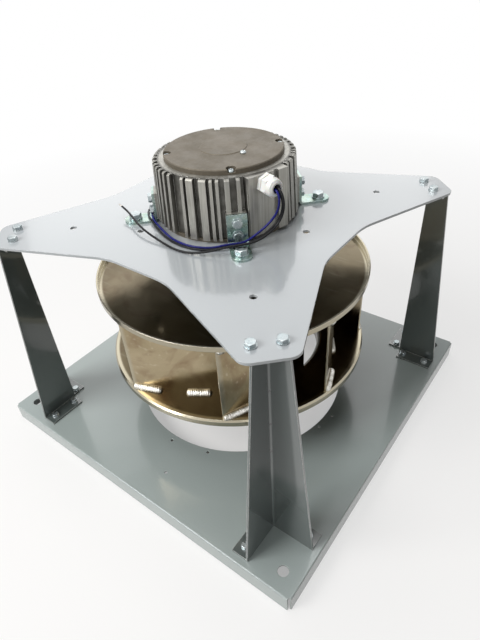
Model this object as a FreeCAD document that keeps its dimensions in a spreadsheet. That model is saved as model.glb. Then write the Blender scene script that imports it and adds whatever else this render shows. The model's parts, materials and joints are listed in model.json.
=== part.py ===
import FreeCAD, Part
import math
import os
import Sketcher

# Plug fan: a square inlet plate on the floor, four folded legs, a star-shaped motor plate,
# an external-finned motor and a welded impeller that hangs from the motor shaft.
# Origin: centre of the inlet plate's underside. +Z is the motor axis, upwards.
# Lengths are in millimetres and angles in degrees.

V = FreeCAD.Vector
doc = FreeCAD.newDocument("PlugFan")

SIZES = {
    # inlet plate
    "base_side": 500,
    "base_depth": 25,
    "base_sheet": 2,
    "base_bend_radius": 1.8,
    "base_corner_relief": 2.5,
    "inlet_hole_radius": 154,
    "corner_hole_radius": 6.5,
    "corner_hole_inset": 23.5,
    "nozzle_ring_radius": 160,
    "nozzle_cross_radius": 163,
    "nozzle_hole_radius": 2,
    "nozzle_ring_turn": -10,
    "tap_hole_radius": 2,
    "tap_hole_circle": 209,
    "tap_hole_turn": -82,
    # legs
    "leg_height": 281,
    "leg_sheet": 2.5,
    "leg_inset": 62,
    "leg_foot_width": 53,
    "leg_top_width": 23,
    "leg_flange": 22,
    "leg_bend_radius": 2,
    "foot_bolt_near": 6.5,
    "foot_bolt_far": 41,
    "foot_bolt_setback": 11.5,
    # star-shaped motor plate
    "star_sheet": 3,
    "star_valley": 162.5,
    "star_valley_half": 44,
    "star_overhang": 17.1,
    "star_tip_half": 25.4,
    "star_tip_round": 14,
    "star_valley_round": 80,
    "star_center_hole": 37,
    "arm_hole_radius": 4,
    "arm_hole_circle": 192,
    "spare_hole_radius": 4,
    "spare_hole_circle": 113,
    "tip_bolt_setback": 4.3,
    "tip_bolt_half": 14,
    # fasteners: thread radius, width across flats, head height, washer and nut
    "hole_clearance": 0.25,
    "overlap": 1,
    "five_thread": 2.5,
    "five_across": 8,
    "five_head": 3.5,
    "five_washer": 5,
    "five_washer_sheet": 1,
    "five_nut": 4,
    "six_thread": 3,
    "six_across": 10,
    "six_head": 4,
    "six_washer": 6,
    "six_washer_sheet": 1.2,
    "six_nut": 5,
    "eight_thread": 4,
    "eight_across": 13,
    "eight_head": 5.3,
    "eight_washer": 8,
    "eight_washer_sheet": 1.6,
    "eight_nut": 6.5,
    "thread_end": 1.5,
    # motor straps
    "strap_width": 23,
    "strap_sheet": 3,
    "strap_face": 88,
    "strap_reach": 128.5,
    "strap_height": 37,
    "strap_plate_bolt": 115,
    "strap_low_bolt": 12.5,
    "strap_high_bolt": 27.5,
    "strap_bend_radius": 2.5,
    "strap_pad_depth": 12,
    "strap_end_flat": 0.2,
    # motor housing, cover and end shield
    "motor_height": 79.5,
    "cover_sheet": 6,
    "cover_radius": 70.5,
    "cover_screw_circle": 66.5,
    "cover_notch_radius": 5.5,
    "cover_notch_depth": 4,
    "cover_boss_radius": 27,
    "cover_boss_rise": 0.8,
    "cover_wall": 4.3,
    "cover_seat_wall": 5,
    "cover_edge": 1,
    "plug_floor": 1,
    "cover_spigot": 3,
    "spigot_clearance": 0.05,
    "plug_screw_circle": 33,
    "plug_screw_turn": -10,
    "shield_flange": 4,
    "shield_flange_radius": 83,
    "shield_spigot": 3,
    "shield_wall": 4,
    "shield_screw_circle": 77.5,
    "shield_nose_radius": 34,
    "shield_nose_depth": 12.5,
    "shield_lip": 3,
    "housing_bore": 72,
    "housing_neck": 61,
    "housing_neck_height": 7.5,
    "housing_root_low": 80.5,
    "housing_root_high": 78,
    "fin_low": 87,
    "fin_high": 84,
    "fin_sink": 1,
    "fin_chamfer": 1.5,
    "terminal_turn": -18,
    "terminal_face": 84,
    "terminal_trim": 20,
    "terminal_half": 25.7,
    "terminal_rib_start": 13,
    "terminal_rib_rise": 2,
    "terminal_groove_start": 8,
    "terminal_groove_depth": 2,
    "screw_four_thread": 2,
    "screw_four_head": 3.6,
    "screw_four_head_height": 2.4,
    "screw_four_length": 9,
    "screw_end_gap": 1,
    # cable gland
    "gland_height": 63,
    "gland_along": -4.4,
    "gland_across": 20,
    "gland_hex": 5,
    "gland_thread": 6.5,
    "gland_thread_length": 11,
    "gland_neck": 8,
    "gland_reach": 21,
    "gland_nut_gap": 0.8,
    "gland_mouth": 5,
    "gland_nut_wall": 3,
    "gland_dome_drop": 2,
    "gland_lip": 1.5,
    "gland_seal_end": 14,
    # bearings
    "upper_shaft": 8.5,
    "upper_bearing_radius": 20,
    "upper_bearing_width": 12,
    "lower_shaft": 12.5,
    "lower_bearing_radius": 26,
    "lower_bearing_width": 15,
    "ring_wall": 0.3,
    "ball_clearance": 0.05,
    "spring_sheet": 0.8,
    "spring_width": 5,
    "seal_radius": 22,
    "seal_clearance": 0.05,
    # stator and rotor
    "stator_bore": 45,
    "stator_height": 34,
    "stator_lift": 16,
    "slot_depth": 14,
    "slot_width": 6,
    "slot_start": 48,
    "slot_clearance": 0.3,
    "winding_height": 9,
    "winding_corner": 3,
    "winding_gap": 0.4,
    "winding_inner": 47,
    "winding_outer": 66,
    "air_gap": 0.5,
    "rotor_shaft": 14,
    "rotor_ring_inner": 27.6,
    "rotor_ring_rise": 4,
    "rotor_ring_slope": 3,
    # shaft and hub
    "shaft_radius": 12,
    "shaft_bore_depth": 26,
    "shaft_end_gap": 1,
    "shaft_chamfer": 1,
    "shaft_bolt_reach": 20.8,
    "hub_boss_radius": 30,
    "hub_boss_height": 42,
    "hub_root": 2,
    "hub_chamfer": 1.5,
    "hub_flange_radius": 50,
    "hub_flange_sheet": 6,
    "hub_pilot_radius": 29.5,
    "hub_pilot_depth": 7,
    "hub_rivet_circle": 40,
    "rivet_radius": 3,
    "rivet_head_radius": 5,
    "rivet_head": 2.5,
    "key_width": 8,
    "key_height": 7,
    "key_length": 30,
    "key_sink": 4,
    "end_washer_radius": 20,
    "end_washer_sheet": 3,
    # impeller
    "shroud_lift": 93.5,
    "blade_height": 110.5,
    "impeller_sheet": 2,
    "impeller_radius": 181,
    "backplate_rim": 9,
    "shroud_rim": 9,
    "rim_bend": 2,
    "throat_radius": 117,
    "throat_bend": 16,
    "throat_neck": 17,
    "blade_count": 8,
    "blade_sheet": 2,
    "blade_tip_radius": 176,
    "blade_inner_radius": 130,
    "blade_sweep": 48,
    "blade_curve": 300,
    "blade_turn": 31,
    "bead_radius": 4.5,
    "bead_length": 41,
    "bead_second_start": 73,
    "bead_second_length": 34,
    "tack_length": 12,
    # motor wires
    "wire_radius": 1.3,
}

# shares of a head's, ring's or nut's own size
PAN_EDGE = 0.5
PAN_TOP = 0.7
CROSS_REACH = 0.6
CROSS_WIDTH = 0.12
CROSS_DEPTH = 0.45
RIVET_FLAT = 0.5
RIVET_EDGE = 0.4
BALL_SHARE = 0.3
SHOULDER_SHARE = 0.3
DOME_START = 1.05
DOME_END = 0.9
# straight steps that make the throat's quarter round
THROAT_STEPS = 6

COUNTS = {"corners": 4, "bearing_balls": 8, "slots": 24, "hub_rivets": 6, "spare_holes": 3,
          "nozzle_cross": 4, "nozzle_ring": 6}

# one quarter of the housing's cooling fins: middle and width of each, from the strap's middle
FINS = [(-40, 2.6), (-33.5, 5.6), (-23.2, 5.4), (-16.8, 2.3), (-12.2, 2.3), (-5, 3.6),
        (3.3, 2.8), (10.5, 2.6), (17, 2.3), (23.5, 2.6), (30, 2.3), (36.5, 2.6)]


class Size:
    """A value known both as a number and as an expression over the sheets."""

    def __init__(self, number, text):
        self.number = number
        self.text = text

    def __add__(self, other):
        other = as_size(other)
        return Size(self.number + other.number, f"({self.text} + {other.text})")

    def __sub__(self, other):
        other = as_size(other)
        return Size(self.number - other.number, f"({self.text} - {other.text})")

    def __mul__(self, other):
        other = as_size(other)
        return Size(self.number * other.number, f"({self.text} * {other.text})")

    def __truediv__(self, other):
        other = as_size(other)
        return Size(self.number / other.number, f"({self.text} / {other.text})")

    def __neg__(self):
        return self * -1

    def __rsub__(self, other):
        return as_size(other) - self

    __radd__ = __add__
    __rmul__ = __mul__


def as_size(value):
    if isinstance(value, Size):
        return value
    return Size(value, f"({value})")


def root(size):
    return Size(math.sqrt(size.number), f"sqrt({size.text})")


def cosine(angle):
    angle = as_size(angle)
    return Size(math.cos(math.radians(angle.number)), f"cos({angle.text})")


def sine(angle):
    angle = as_size(angle)
    return Size(math.sin(math.radians(angle.number)), f"sin({angle.text})")


def driving_sheet():
    """The driving dimensions, one plain number to a cell, each with its alias."""
    sheet = doc.addObject("Spreadsheet::Sheet", "Sizes")
    named = {}
    for row, (name, number) in enumerate(SIZES.items(), start=1):
        sheet.set(f"A{row}", name)
        sheet.set(f"B{row}", str(number))
        sheet.setAlias(f"B{row}", name)
        named[name] = Size(number, f"Sizes.{name}")
    return named


size = driving_sheet()
worked_sheet = doc.addObject("Spreadsheet::Sheet", "Worked")
worked_names = []


def worked(name, value):
    """Store a worked-out size as a formula cell and return it under its alias."""
    worked_names.append(name)
    row = len(worked_names)
    worked_sheet.set(f"A{row}", name)
    worked_sheet.set(f"B{row}", "=" + value.text)
    worked_sheet.setAlias(f"B{row}", name)
    return Size(value.number, f"Worked.{name}")


star_underside = worked("star_underside", size["base_depth"] + size["leg_height"])
star_top = worked("star_top", star_underside + size["star_sheet"])
leg_top = star_underside
shield_top = worked("shield_top", star_top + size["shield_flange"])
housing_top = worked("housing_top", star_top + size["motor_height"] - size["cover_sheet"])
cover_top = worked("cover_top", star_top + size["motor_height"])
shroud_face = worked("shroud_face", size["base_depth"] + size["shroud_lift"])
backplate_underside = worked("backplate_underside", shroud_face + size["blade_height"])
backplate_top = worked("backplate_top", backplate_underside + size["impeller_sheet"])
shield_bottom = worked("shield_bottom", star_top - size["shield_nose_depth"])
lower_seat = worked("lower_seat", shield_bottom + size["shield_lip"])
lower_bearing_top = worked("lower_bearing_top", lower_seat + size["lower_bearing_width"])
spring_top = worked("spring_top", cover_top - size["cover_wall"])
upper_bearing_top = worked("upper_bearing_top", spring_top - size["spring_sheet"])
upper_seat = worked("upper_seat", upper_bearing_top - size["upper_bearing_width"])
stator_bottom = worked("stator_bottom", shield_top + size["stator_lift"])
stator_top = worked("stator_top", stator_bottom + size["stator_height"])
hub_bottom = worked("hub_bottom", backplate_top - size["hub_pilot_depth"])
hub_top = worked("hub_top", backplate_top + size["hub_flange_sheet"] + size["hub_boss_height"])

nodes = []


def keep(feature, label):
    """Mark an object as a sub-part that is written out under its label."""
    feature.Label = label
    nodes.append(feature)


def bind(feature, name, value):
    value = as_size(value)
    feature.setExpression(name, value.text)


def turned(angle, x=0, y=0, z=0):
    return FreeCAD.Placement(V(x, y, z), FreeCAD.Rotation(V(0, 0, 1), angle))


def rotated(x, y, angle):
    """A plan point turned about the motor axis."""
    return x * cosine(angle) - y * sine(angle), x * sine(angle) + y * cosine(angle)


def on_circle(radius, angle):
    return radius * cosine(angle), radius * sine(angle)


def quarter_turns(points):
    """The given plan points at all four corners."""
    places = []
    for x, y in points:
        places += [(x, y), (-y, x), (-x, -y), (y, -x)]
    return places


class Drawing:
    """A sketch on one of a body's origin planes, with all its points bound to the sheets."""

    turn_axis = {"XY_Plane": V(0, 0, 1), "XZ_Plane": V(0, 1, 0), "YZ_Plane": V(0, 1, 0)}

    def __init__(self, body, plane="XY_Plane", lift=0, turn=0):
        self.sketch = body.newObject("Sketcher::SketchObject", body.Name + "_sketch")
        origin_plane = [part for part in body.Origin.OriginFeatures if part.Role == plane][0]
        self.sketch.AttachmentSupport = [(origin_plane, "")]
        self.sketch.MapMode = "FlatFace"
        rotation = FreeCAD.Rotation(self.turn_axis[plane], turn)
        self.sketch.AttachmentOffset = FreeCAD.Placement(V(0, 0, 0), rotation)
        if plane != "XY_Plane" and turn:
            bind(self.sketch, ".AttachmentOffset.Base.x", lift * sine(turn))
            lift = lift * cosine(turn)
        bind(self.sketch, ".AttachmentOffset.Base.z", lift)

    def pin(self, geometry, vertex, x=None, y=None):
        """Fix a vertex of the drawing at its distances from the sketch's origin."""
        for kind, value in (("DistanceX", x), ("DistanceY", y)):
            if value is not None:
                value = as_size(value)
                rule = Sketcher.Constraint(kind, -1, 1, geometry, vertex, value.number)
                bind(self.sketch, f"Constraints[{self.sketch.addConstraint(rule)}]", value)

    def radius(self, geometry, value):
        value = as_size(value)
        rule = Sketcher.Constraint("Radius", geometry, value.number)
        bind(self.sketch, f"Constraints[{self.sketch.addConstraint(rule)}]", value)

    def outline(self, points):
        """A closed outline of straight lines."""
        points = [(as_size(x), as_size(y)) for x, y in points]
        corners = [V(x.number, y.number, 0) for x, y in points]
        lines = []
        for start, end in zip(corners, corners[1:] + corners[:1]):
            lines.append(self.sketch.addGeometry(Part.LineSegment(start, end), False))
        for line, following in zip(lines, lines[1:] + lines[:1]):
            self.sketch.addConstraint(Sketcher.Constraint("Coincident", line, 2, following, 1))
        for line, (x, y) in zip(lines, points):
            self.pin(line, 1, x, y)
        return self

    def box(self, x_low, y_low, x_high, y_high):
        return self.outline([(x_low, y_low), (x_high, y_low), (x_high, y_high), (x_low, y_high)])

    def circle(self, x, y, radius):
        x, y, radius = as_size(x), as_size(y), as_size(radius)
        circle = Part.Circle(V(x.number, y.number, 0), V(0, 0, 1), radius.number)
        index = self.sketch.addGeometry(circle, False)
        self.pin(index, 3, x, y)
        self.radius(index, radius)
        return self

    def hexagon(self, across, turn=0):
        corner = across / math.sqrt(3)
        return self.outline([on_circle(corner, turn + 60 * side) for side in range(6)])

    def arc(self, center, radius, start, end):
        """An arc of known centre and radius that runs between two plan points."""
        first = math.atan2((start[1] - center[1]).number, (start[0] - center[0]).number)
        last = math.atan2((end[1] - center[1]).number, (end[0] - center[0]).number)
        circle = Part.Circle(V(center[0].number, center[1].number, 0), V(0, 0, 1), radius.number)
        index = self.sketch.addGeometry(Part.ArcOfCircle(circle, first, last), False)
        self.pin(index, 3, *center)
        self.radius(index, radius)
        self.pin(index, 1, y=start[1])
        self.pin(index, 2, y=end[1])
        return index


def new_body(name):
    return doc.addObject("PartDesign::Body", name)


def pad(drawing, length, backwards=False):
    body = drawing.sketch.getParentGeoFeatureGroup()
    feature = body.newObject("PartDesign::Pad", body.Name + "_pad")
    feature.Profile = drawing.sketch
    feature.Reversed = backwards
    bind(feature, "Length", length)
    return feature


def pocket(drawing, length, backwards=False):
    """Cut along the sketch's normal downwards, or upwards when backwards is set."""
    body = drawing.sketch.getParentGeoFeatureGroup()
    feature = body.newObject("PartDesign::Pocket", body.Name + "_pocket")
    feature.Profile = drawing.sketch
    feature.Reversed = backwards
    bind(feature, "Length", length)
    return feature


def spin(drawing, kind="Revolution", angle=360):
    """Turn a drawing on the XZ plane about the motor axis, as material or as a groove."""
    body = drawing.sketch.getParentGeoFeatureGroup()
    feature = body.newObject("PartDesign::" + kind, body.Name + "_" + kind.lower())
    feature.Profile = drawing.sketch
    feature.ReferenceAxis = (drawing.sketch, ["V_Axis"])
    feature.Angle = angle
    return feature


def repeat_round(body, features, count):
    axis = [part for part in body.Origin.OriginFeatures if part.Role == "Z_Axis"][0]
    pattern = body.newObject("PartDesign::PolarPattern", body.Name + "_round")
    pattern.Originals = features
    pattern.Axis = (axis, [""])
    pattern.Angle = 360
    pattern.Occurrences = count
    body.Tip = pattern
    return pattern


def round_edges(body, radius, wanted):
    """Fillet the edges of the body's last feature that the test picks."""
    doc.recompute()
    base = body.Tip
    names = [f"Edge{number}" for number, edge in enumerate(base.Shape.Edges, start=1)
             if wanted(edge)]
    feature = body.newObject("PartDesign::Fillet", body.Name + "_fillet")
    feature.Base = (base, names)
    bind(feature, "Radius", radius)
    return feature


def upright_at(places):
    """A test for straight vertical edges that stand on one of the plan points."""
    def wanted(edge):
        low, high = edge.BoundBox, edge.BoundBox
        if low.XLength + high.YLength > 0.01 or low.ZLength < 0.5:
            return False
        return any(abs(low.XMin - x.number) + abs(low.YMin - y.number) < 0.02 for x, y in places)
    return wanted


def ring(name, inner, outer, low, high):
    """A plain turned ring."""
    body = new_body(name)
    spin(Drawing(body, "XZ_Plane").box(inner, low, outer, high))
    return body


def copies_of(master, placements):
    """Links to one master, each at its own place."""
    links = []
    for x, y, z, rotation in placements:
        link = doc.addObject("App::Link", master.Name + "_copy")
        link.LinkedObject = master
        link.Placement = FreeCAD.Placement(V(0, 0, 0), rotation)
        bind(link, "Placement.Base.x", x)
        bind(link, "Placement.Base.y", y)
        bind(link, "Placement.Base.z", z)
        links.append(link)
    return links


def gather(name, pieces):
    """One node made of several separate solids."""
    group = doc.addObject("Part::Compound", name)
    group.Links = pieces
    keep(group, name)


def placed_copies(name, master, placements):
    """A node of identical separate solids."""
    gather(name, copies_of(master, placements))


def upright(points, z):
    return [(x, y, z, FreeCAD.Rotation()) for x, y in points]


def chamfered_hex(body, across, low, height, both_ends=False):
    """A hexagonal head whose corners are turned off, as on a real bolt or nut."""
    pad(Drawing(body, lift=low).hexagon(across), height)
    corner = across / math.sqrt(3) + 1
    start = across * 0.475
    drop = (corner - start) * 0.5
    ends = [(low + height, -1)] + ([(low, 1)] if both_ends else [])
    for level, side in ends:
        level = as_size(level)
        drawing = Drawing(body, "XZ_Plane")
        drawing.outline([(start, level), (corner, level), (corner, level + drop * side)])
        spin(drawing, "Groove")


def hex_bolt(name, grade, length):
    """A hex bolt master: the head stands on z = 0 and the shank runs down."""
    body = new_body(name)
    chamfered_hex(body, size[grade + "_across"], as_size(0), size[grade + "_head"])
    pad(Drawing(body).circle(0, 0, size[grade + "_thread"]), length, backwards=True)
    return body


def washer(name, grade):
    """A flat washer master that stands on z = 0."""
    body = new_body(name)
    drawing = Drawing(body).circle(0, 0, size[grade + "_washer"])
    drawing.circle(0, 0, size[grade + "_thread"] + size["hole_clearance"])
    pad(drawing, size[grade + "_washer_sheet"])
    return body


def nut(name, grade):
    """A hex nut master whose top face is at z = 0."""
    body = new_body(name)
    height = size[grade + "_nut"]
    chamfered_hex(body, size[grade + "_across"], -height, height, both_ends=True)
    pocket(Drawing(body).circle(0, 0, size[grade + "_thread"]), height)
    return body


# Plan places that several pieces share

# The legs keep their distance from the plate's edges, and the arms end over the legs.
vertex = worked("leg_vertex", size["base_side"] / 2 - size["leg_inset"])
vertex_reach = worked("vertex_reach", vertex * math.sqrt(2))
star_reach = worked("star_reach", vertex_reach + size["star_overhang"])
tip_bolt_reach = worked("tip_bolt_reach", vertex_reach - size["tip_bolt_setback"])
foot_row = [size["foot_bolt_near"], size["foot_bolt_far"]]
setback = size["foot_bolt_setback"]
front_foot_bolts = [(vertex + along, setback - vertex) for along in foot_row]
front_foot_bolts += [(vertex - setback, -vertex - along) for along in foot_row]
foot_places = quarter_turns(front_foot_bolts)

half_root = math.sqrt(0.5)


def on_diagonal(reach, across):
    """A plan point on the front arm, given along the arm's diagonal and across it."""
    reach, across = as_size(reach), as_size(across)
    return (reach + across) * half_root, (across - reach) * half_root


front_tip_bolts = [on_diagonal(tip_bolt_reach, size["tip_bolt_half"] * side)
                   for side in (-1, 1)]
tip_places = quarter_turns(front_tip_bolts)
strap_places = quarter_turns([on_diagonal(size["strap_plate_bolt"], 0)])
corner_reach = size["base_side"] / 2 - size["corner_hole_inset"]
corner_places = quarter_turns([(corner_reach, -corner_reach)])


def ring_of_places(radius, count, start=0):
    return [on_circle(radius, start + 360 / count * step) for step in range(count)]


def base_plate():
    """Square tray of folded sheet, flanges down, with the round inlet hole."""
    body = new_body("base_plate")
    half = size["base_side"] / 2
    inside = half - size["base_sheet"]
    rim = Drawing(body).box(-half, -half, half, half)
    rim.box(-inside, -inside, inside, inside)
    pad(rim, size["base_depth"])
    deck_low = size["base_depth"] - size["base_sheet"]
    pad(Drawing(body, lift=deck_low).box(-half, -half, half, half), size["base_sheet"])
    top = size["base_depth"].number
    outer = half.number

    def top_rim(edge):
        box = edge.BoundBox
        on_side = max(abs(box.XMin + box.XMax), abs(box.YMin + box.YMax)) > 2 * outer - 0.01
        return box.ZLength < 0.01 and abs(box.ZMin - top) < 0.01 and on_side

    round_edges(body, size["base_bend_radius"], top_rim)
    relief = Drawing(body)
    for x, y in quarter_turns([(half - size["base_sheet"] / 2, size["base_sheet"] / 2 - half)]):
        relief.circle(x, y, size["base_corner_relief"])
    pocket(relief, size["base_depth"], backwards=True)
    holes = Drawing(body, lift=size["base_depth"])
    holes.circle(0, 0, size["inlet_hole_radius"])
    small = ring_of_places(size["nozzle_cross_radius"], COUNTS["nozzle_cross"])
    small += ring_of_places(size["nozzle_ring_radius"], COUNTS["nozzle_ring"],
                            size["nozzle_ring_turn"])
    for x, y in small:
        holes.circle(x, y, size["nozzle_hole_radius"])
    tap_x, tap_y = on_circle(size["tap_hole_circle"], size["tap_hole_turn"])
    holes.circle(tap_x, tap_y, size["tap_hole_radius"])
    for x, y in corner_places:
        holes.circle(x, y, size["corner_hole_radius"])
    for x, y in foot_places:
        holes.circle(x, y, size["five_thread"] + size["hole_clearance"])
    pocket(holes, size["base_sheet"])
    keep(body, "base_plate")


def leg(label, angle):
    """One folded corner leg: two tapered wings, each with a foot flange and a top flange."""
    body = new_body(label)
    sheet = size["leg_sheet"]
    low = size["base_depth"]
    foot = size["leg_foot_width"]
    head = size["leg_top_width"]
    flange = size["leg_flange"]
    wing = [(vertex - sheet, low), (vertex + foot, low), (vertex + head, leg_top),
            (vertex - sheet, leg_top)]
    pad(Drawing(body, "XZ_Plane", lift=vertex).outline(wing), sheet, backwards=True)
    wing = [(sheet - vertex, low), (sheet - vertex, leg_top), (-vertex - head, leg_top),
            (-vertex - foot, low)]
    pad(Drawing(body, "YZ_Plane", lift=vertex - sheet).outline(wing), sheet)
    for level, width in ((low, foot), (leg_top - sheet, head)):
        pad(Drawing(body, lift=level).box(vertex, -vertex, vertex + width, flange - vertex), sheet)
        side = Drawing(body, lift=level)
        pad(side.box(vertex - flange, -vertex - width, vertex, -vertex), sheet)
    round_edges(body, size["leg_bend_radius"], upright_at([(vertex, -vertex)]))
    holes = Drawing(body, lift=low)
    for x, y in front_foot_bolts:
        holes.circle(x, y, size["five_thread"] + size["hole_clearance"])
    pocket(holes, sheet, backwards=True)
    holes = Drawing(body, lift=leg_top)
    for x, y in front_tip_bolts:
        holes.circle(x, y, size["six_thread"] + size["hole_clearance"])
    pocket(holes, sheet)
    body.Placement = turned(angle)
    keep(body, label)


def star_plate():
    """Four-armed motor plate that lies on the legs' top flanges."""
    body = new_body("star_plate")
    valley = [(size["star_valley_half"] * side, -size["star_valley"]) for side in (-1, 1)]
    tip = [on_diagonal(star_reach, size["star_tip_half"] * side) for side in (-1, 1)]
    quarter = valley + tip
    outline = []
    for step in range(COUNTS["corners"]):
        outline += [rotated(x, y, 90 * step) for x, y in quarter]
    pad(Drawing(body, lift=star_underside).outline(outline), size["star_sheet"])
    round_edges(body, size["star_tip_round"], upright_at(quarter_turns(tip)))
    round_edges(body, size["star_valley_round"], upright_at(quarter_turns(valley)))
    holes = Drawing(body, lift=star_top)
    holes.circle(0, 0, size["star_center_hole"])
    for x, y in tip_places:
        holes.circle(x, y, size["six_thread"] + size["hole_clearance"])
    for x, y in strap_places:
        holes.circle(x, y, size["eight_thread"] + size["hole_clearance"])
    for x, y in quarter_turns([on_diagonal(size["arm_hole_circle"], 0)]):
        holes.circle(x, y, size["arm_hole_radius"])
    for x, y in ring_of_places(size["spare_hole_circle"], COUNTS["spare_holes"]):
        holes.circle(x, y, size["spare_hole_radius"])
    pocket(holes, size["star_sheet"])
    keep(body, "star_plate")


def frame_fasteners():
    """Bolts, washers and nuts of the legs, the arm tips and the straps."""
    foot_face = size["base_depth"] + size["leg_sheet"]
    foot_head = foot_face + size["five_washer_sheet"]
    foot_grip = size["five_washer_sheet"] + size["leg_sheet"] + size["base_sheet"]
    foot_length = foot_grip + size["five_nut"] + size["thread_end"]
    placed_copies("foot_bolts", hex_bolt("foot_bolt", "five", foot_length),
                  upright(foot_places, foot_head))
    placed_copies("foot_washers", washer("foot_washer", "five"), upright(foot_places, foot_face))
    placed_copies("foot_nuts", nut("foot_nut", "five"),
                  upright(foot_places, size["base_depth"] - size["base_sheet"]))
    tip_head = star_top + size["six_washer_sheet"]
    tip_grip = size["six_washer_sheet"] + size["star_sheet"] + size["leg_sheet"]
    tip_length = tip_grip + size["six_nut"] + size["thread_end"]
    placed_copies("arm_tip_bolts", hex_bolt("arm_tip_bolt", "six", tip_length),
                  upright(tip_places, tip_head))
    placed_copies("arm_tip_washers", washer("arm_tip_washer", "six"), upright(tip_places, star_top))
    placed_copies("arm_tip_nuts", nut("arm_tip_nut", "six"),
                  upright(tip_places, star_underside - size["leg_sheet"]))
    strap_top = star_top + size["strap_sheet"]
    strap_grip = size["eight_washer_sheet"] + size["strap_sheet"] + size["star_sheet"]
    strap_length = strap_grip + size["eight_nut"] + size["thread_end"]
    placed_copies("strap_plate_bolts", hex_bolt("strap_plate_bolt", "eight", strap_length),
                  upright(strap_places, strap_top + size["eight_washer_sheet"]))
    placed_copies("strap_plate_washers", washer("strap_plate_washer", "eight"),
                  upright(strap_places, strap_top))
    placed_copies("strap_plate_nuts", nut("strap_plate_nut", "eight"),
                  upright(strap_places, star_underside))


def strap_bolt_places(radius):
    """Places and directions of the radial bolts, whose heads face away from the motor."""
    places = []
    for step in range(COUNTS["corners"]):
        angle = 45 + 90 * step
        x, y = on_circle(radius, angle)
        outward = FreeCAD.Rotation(V(0, 0, 1), V(x.number, y.number, 0))
        for height in (size["strap_low_bolt"], size["strap_high_bolt"]):
            places.append((x, y, star_top + height, outward))
    return places


def strap(label, angle):
    """L-shaped strap that holds the motor housing to the star plate."""
    body = new_body(label)
    sheet = size["strap_sheet"]
    face = size["strap_face"]
    side = size["strap_width"] / 2
    profile = [(face, star_top), (size["strap_reach"], star_top),
               (size["strap_reach"], star_top + sheet), (face + sheet, star_top + sheet),
               (face + sheet, star_top + size["strap_height"]),
               (face, star_top + size["strap_height"])]
    pad(Drawing(body, "XZ_Plane", lift=side).outline(profile), side * 2, backwards=True)
    inner_low, outer_low = face.number, (face + sheet).number
    plate_level = star_top.number
    upper_level = (star_top + sheet).number
    turn = size["strap_bend_radius"]

    def across_at(x, z):
        def wanted(edge):
            box = edge.BoundBox
            return box.YLength > 1 and abs(box.XMin - x) + abs(box.ZMin - z) + box.XLength < 0.01
        return wanted

    round_edges(body, turn + sheet, across_at(inner_low, plate_level))
    round_edges(body, turn, across_at(outer_low, upper_level))
    reach = size["strap_reach"]
    end_corners = [(reach, side), (reach, -side)]
    round_edges(body, side - size["strap_end_flat"], upright_at(end_corners))
    hole = Drawing(body, lift=star_top + sheet)
    hole.circle(size["strap_plate_bolt"], 0, size["eight_thread"] + size["hole_clearance"])
    pocket(hole, sheet)
    hole = Drawing(body, "YZ_Plane", lift=face + sheet)
    for height in (size["strap_low_bolt"], size["strap_high_bolt"]):
        hole.circle(0, star_top + height, size["six_thread"] + size["hole_clearance"])
    pocket(hole, sheet)
    body.Placement = turned(angle)
    keep(body, label)


def strap_motor_fasteners():
    washer_face = size["strap_face"] + size["strap_sheet"]
    head_face = washer_face + size["six_washer_sheet"]
    grip = size["six_washer_sheet"] + size["strap_sheet"]
    bolt = hex_bolt("strap_motor_bolt", "six", grip + size["strap_pad_depth"] - size["thread_end"])
    placed_copies("strap_motor_bolts", bolt, strap_bolt_places(head_face))
    placed_copies("strap_motor_washers", washer("strap_motor_washer", "six"),
                  strap_bolt_places(washer_face))


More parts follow.
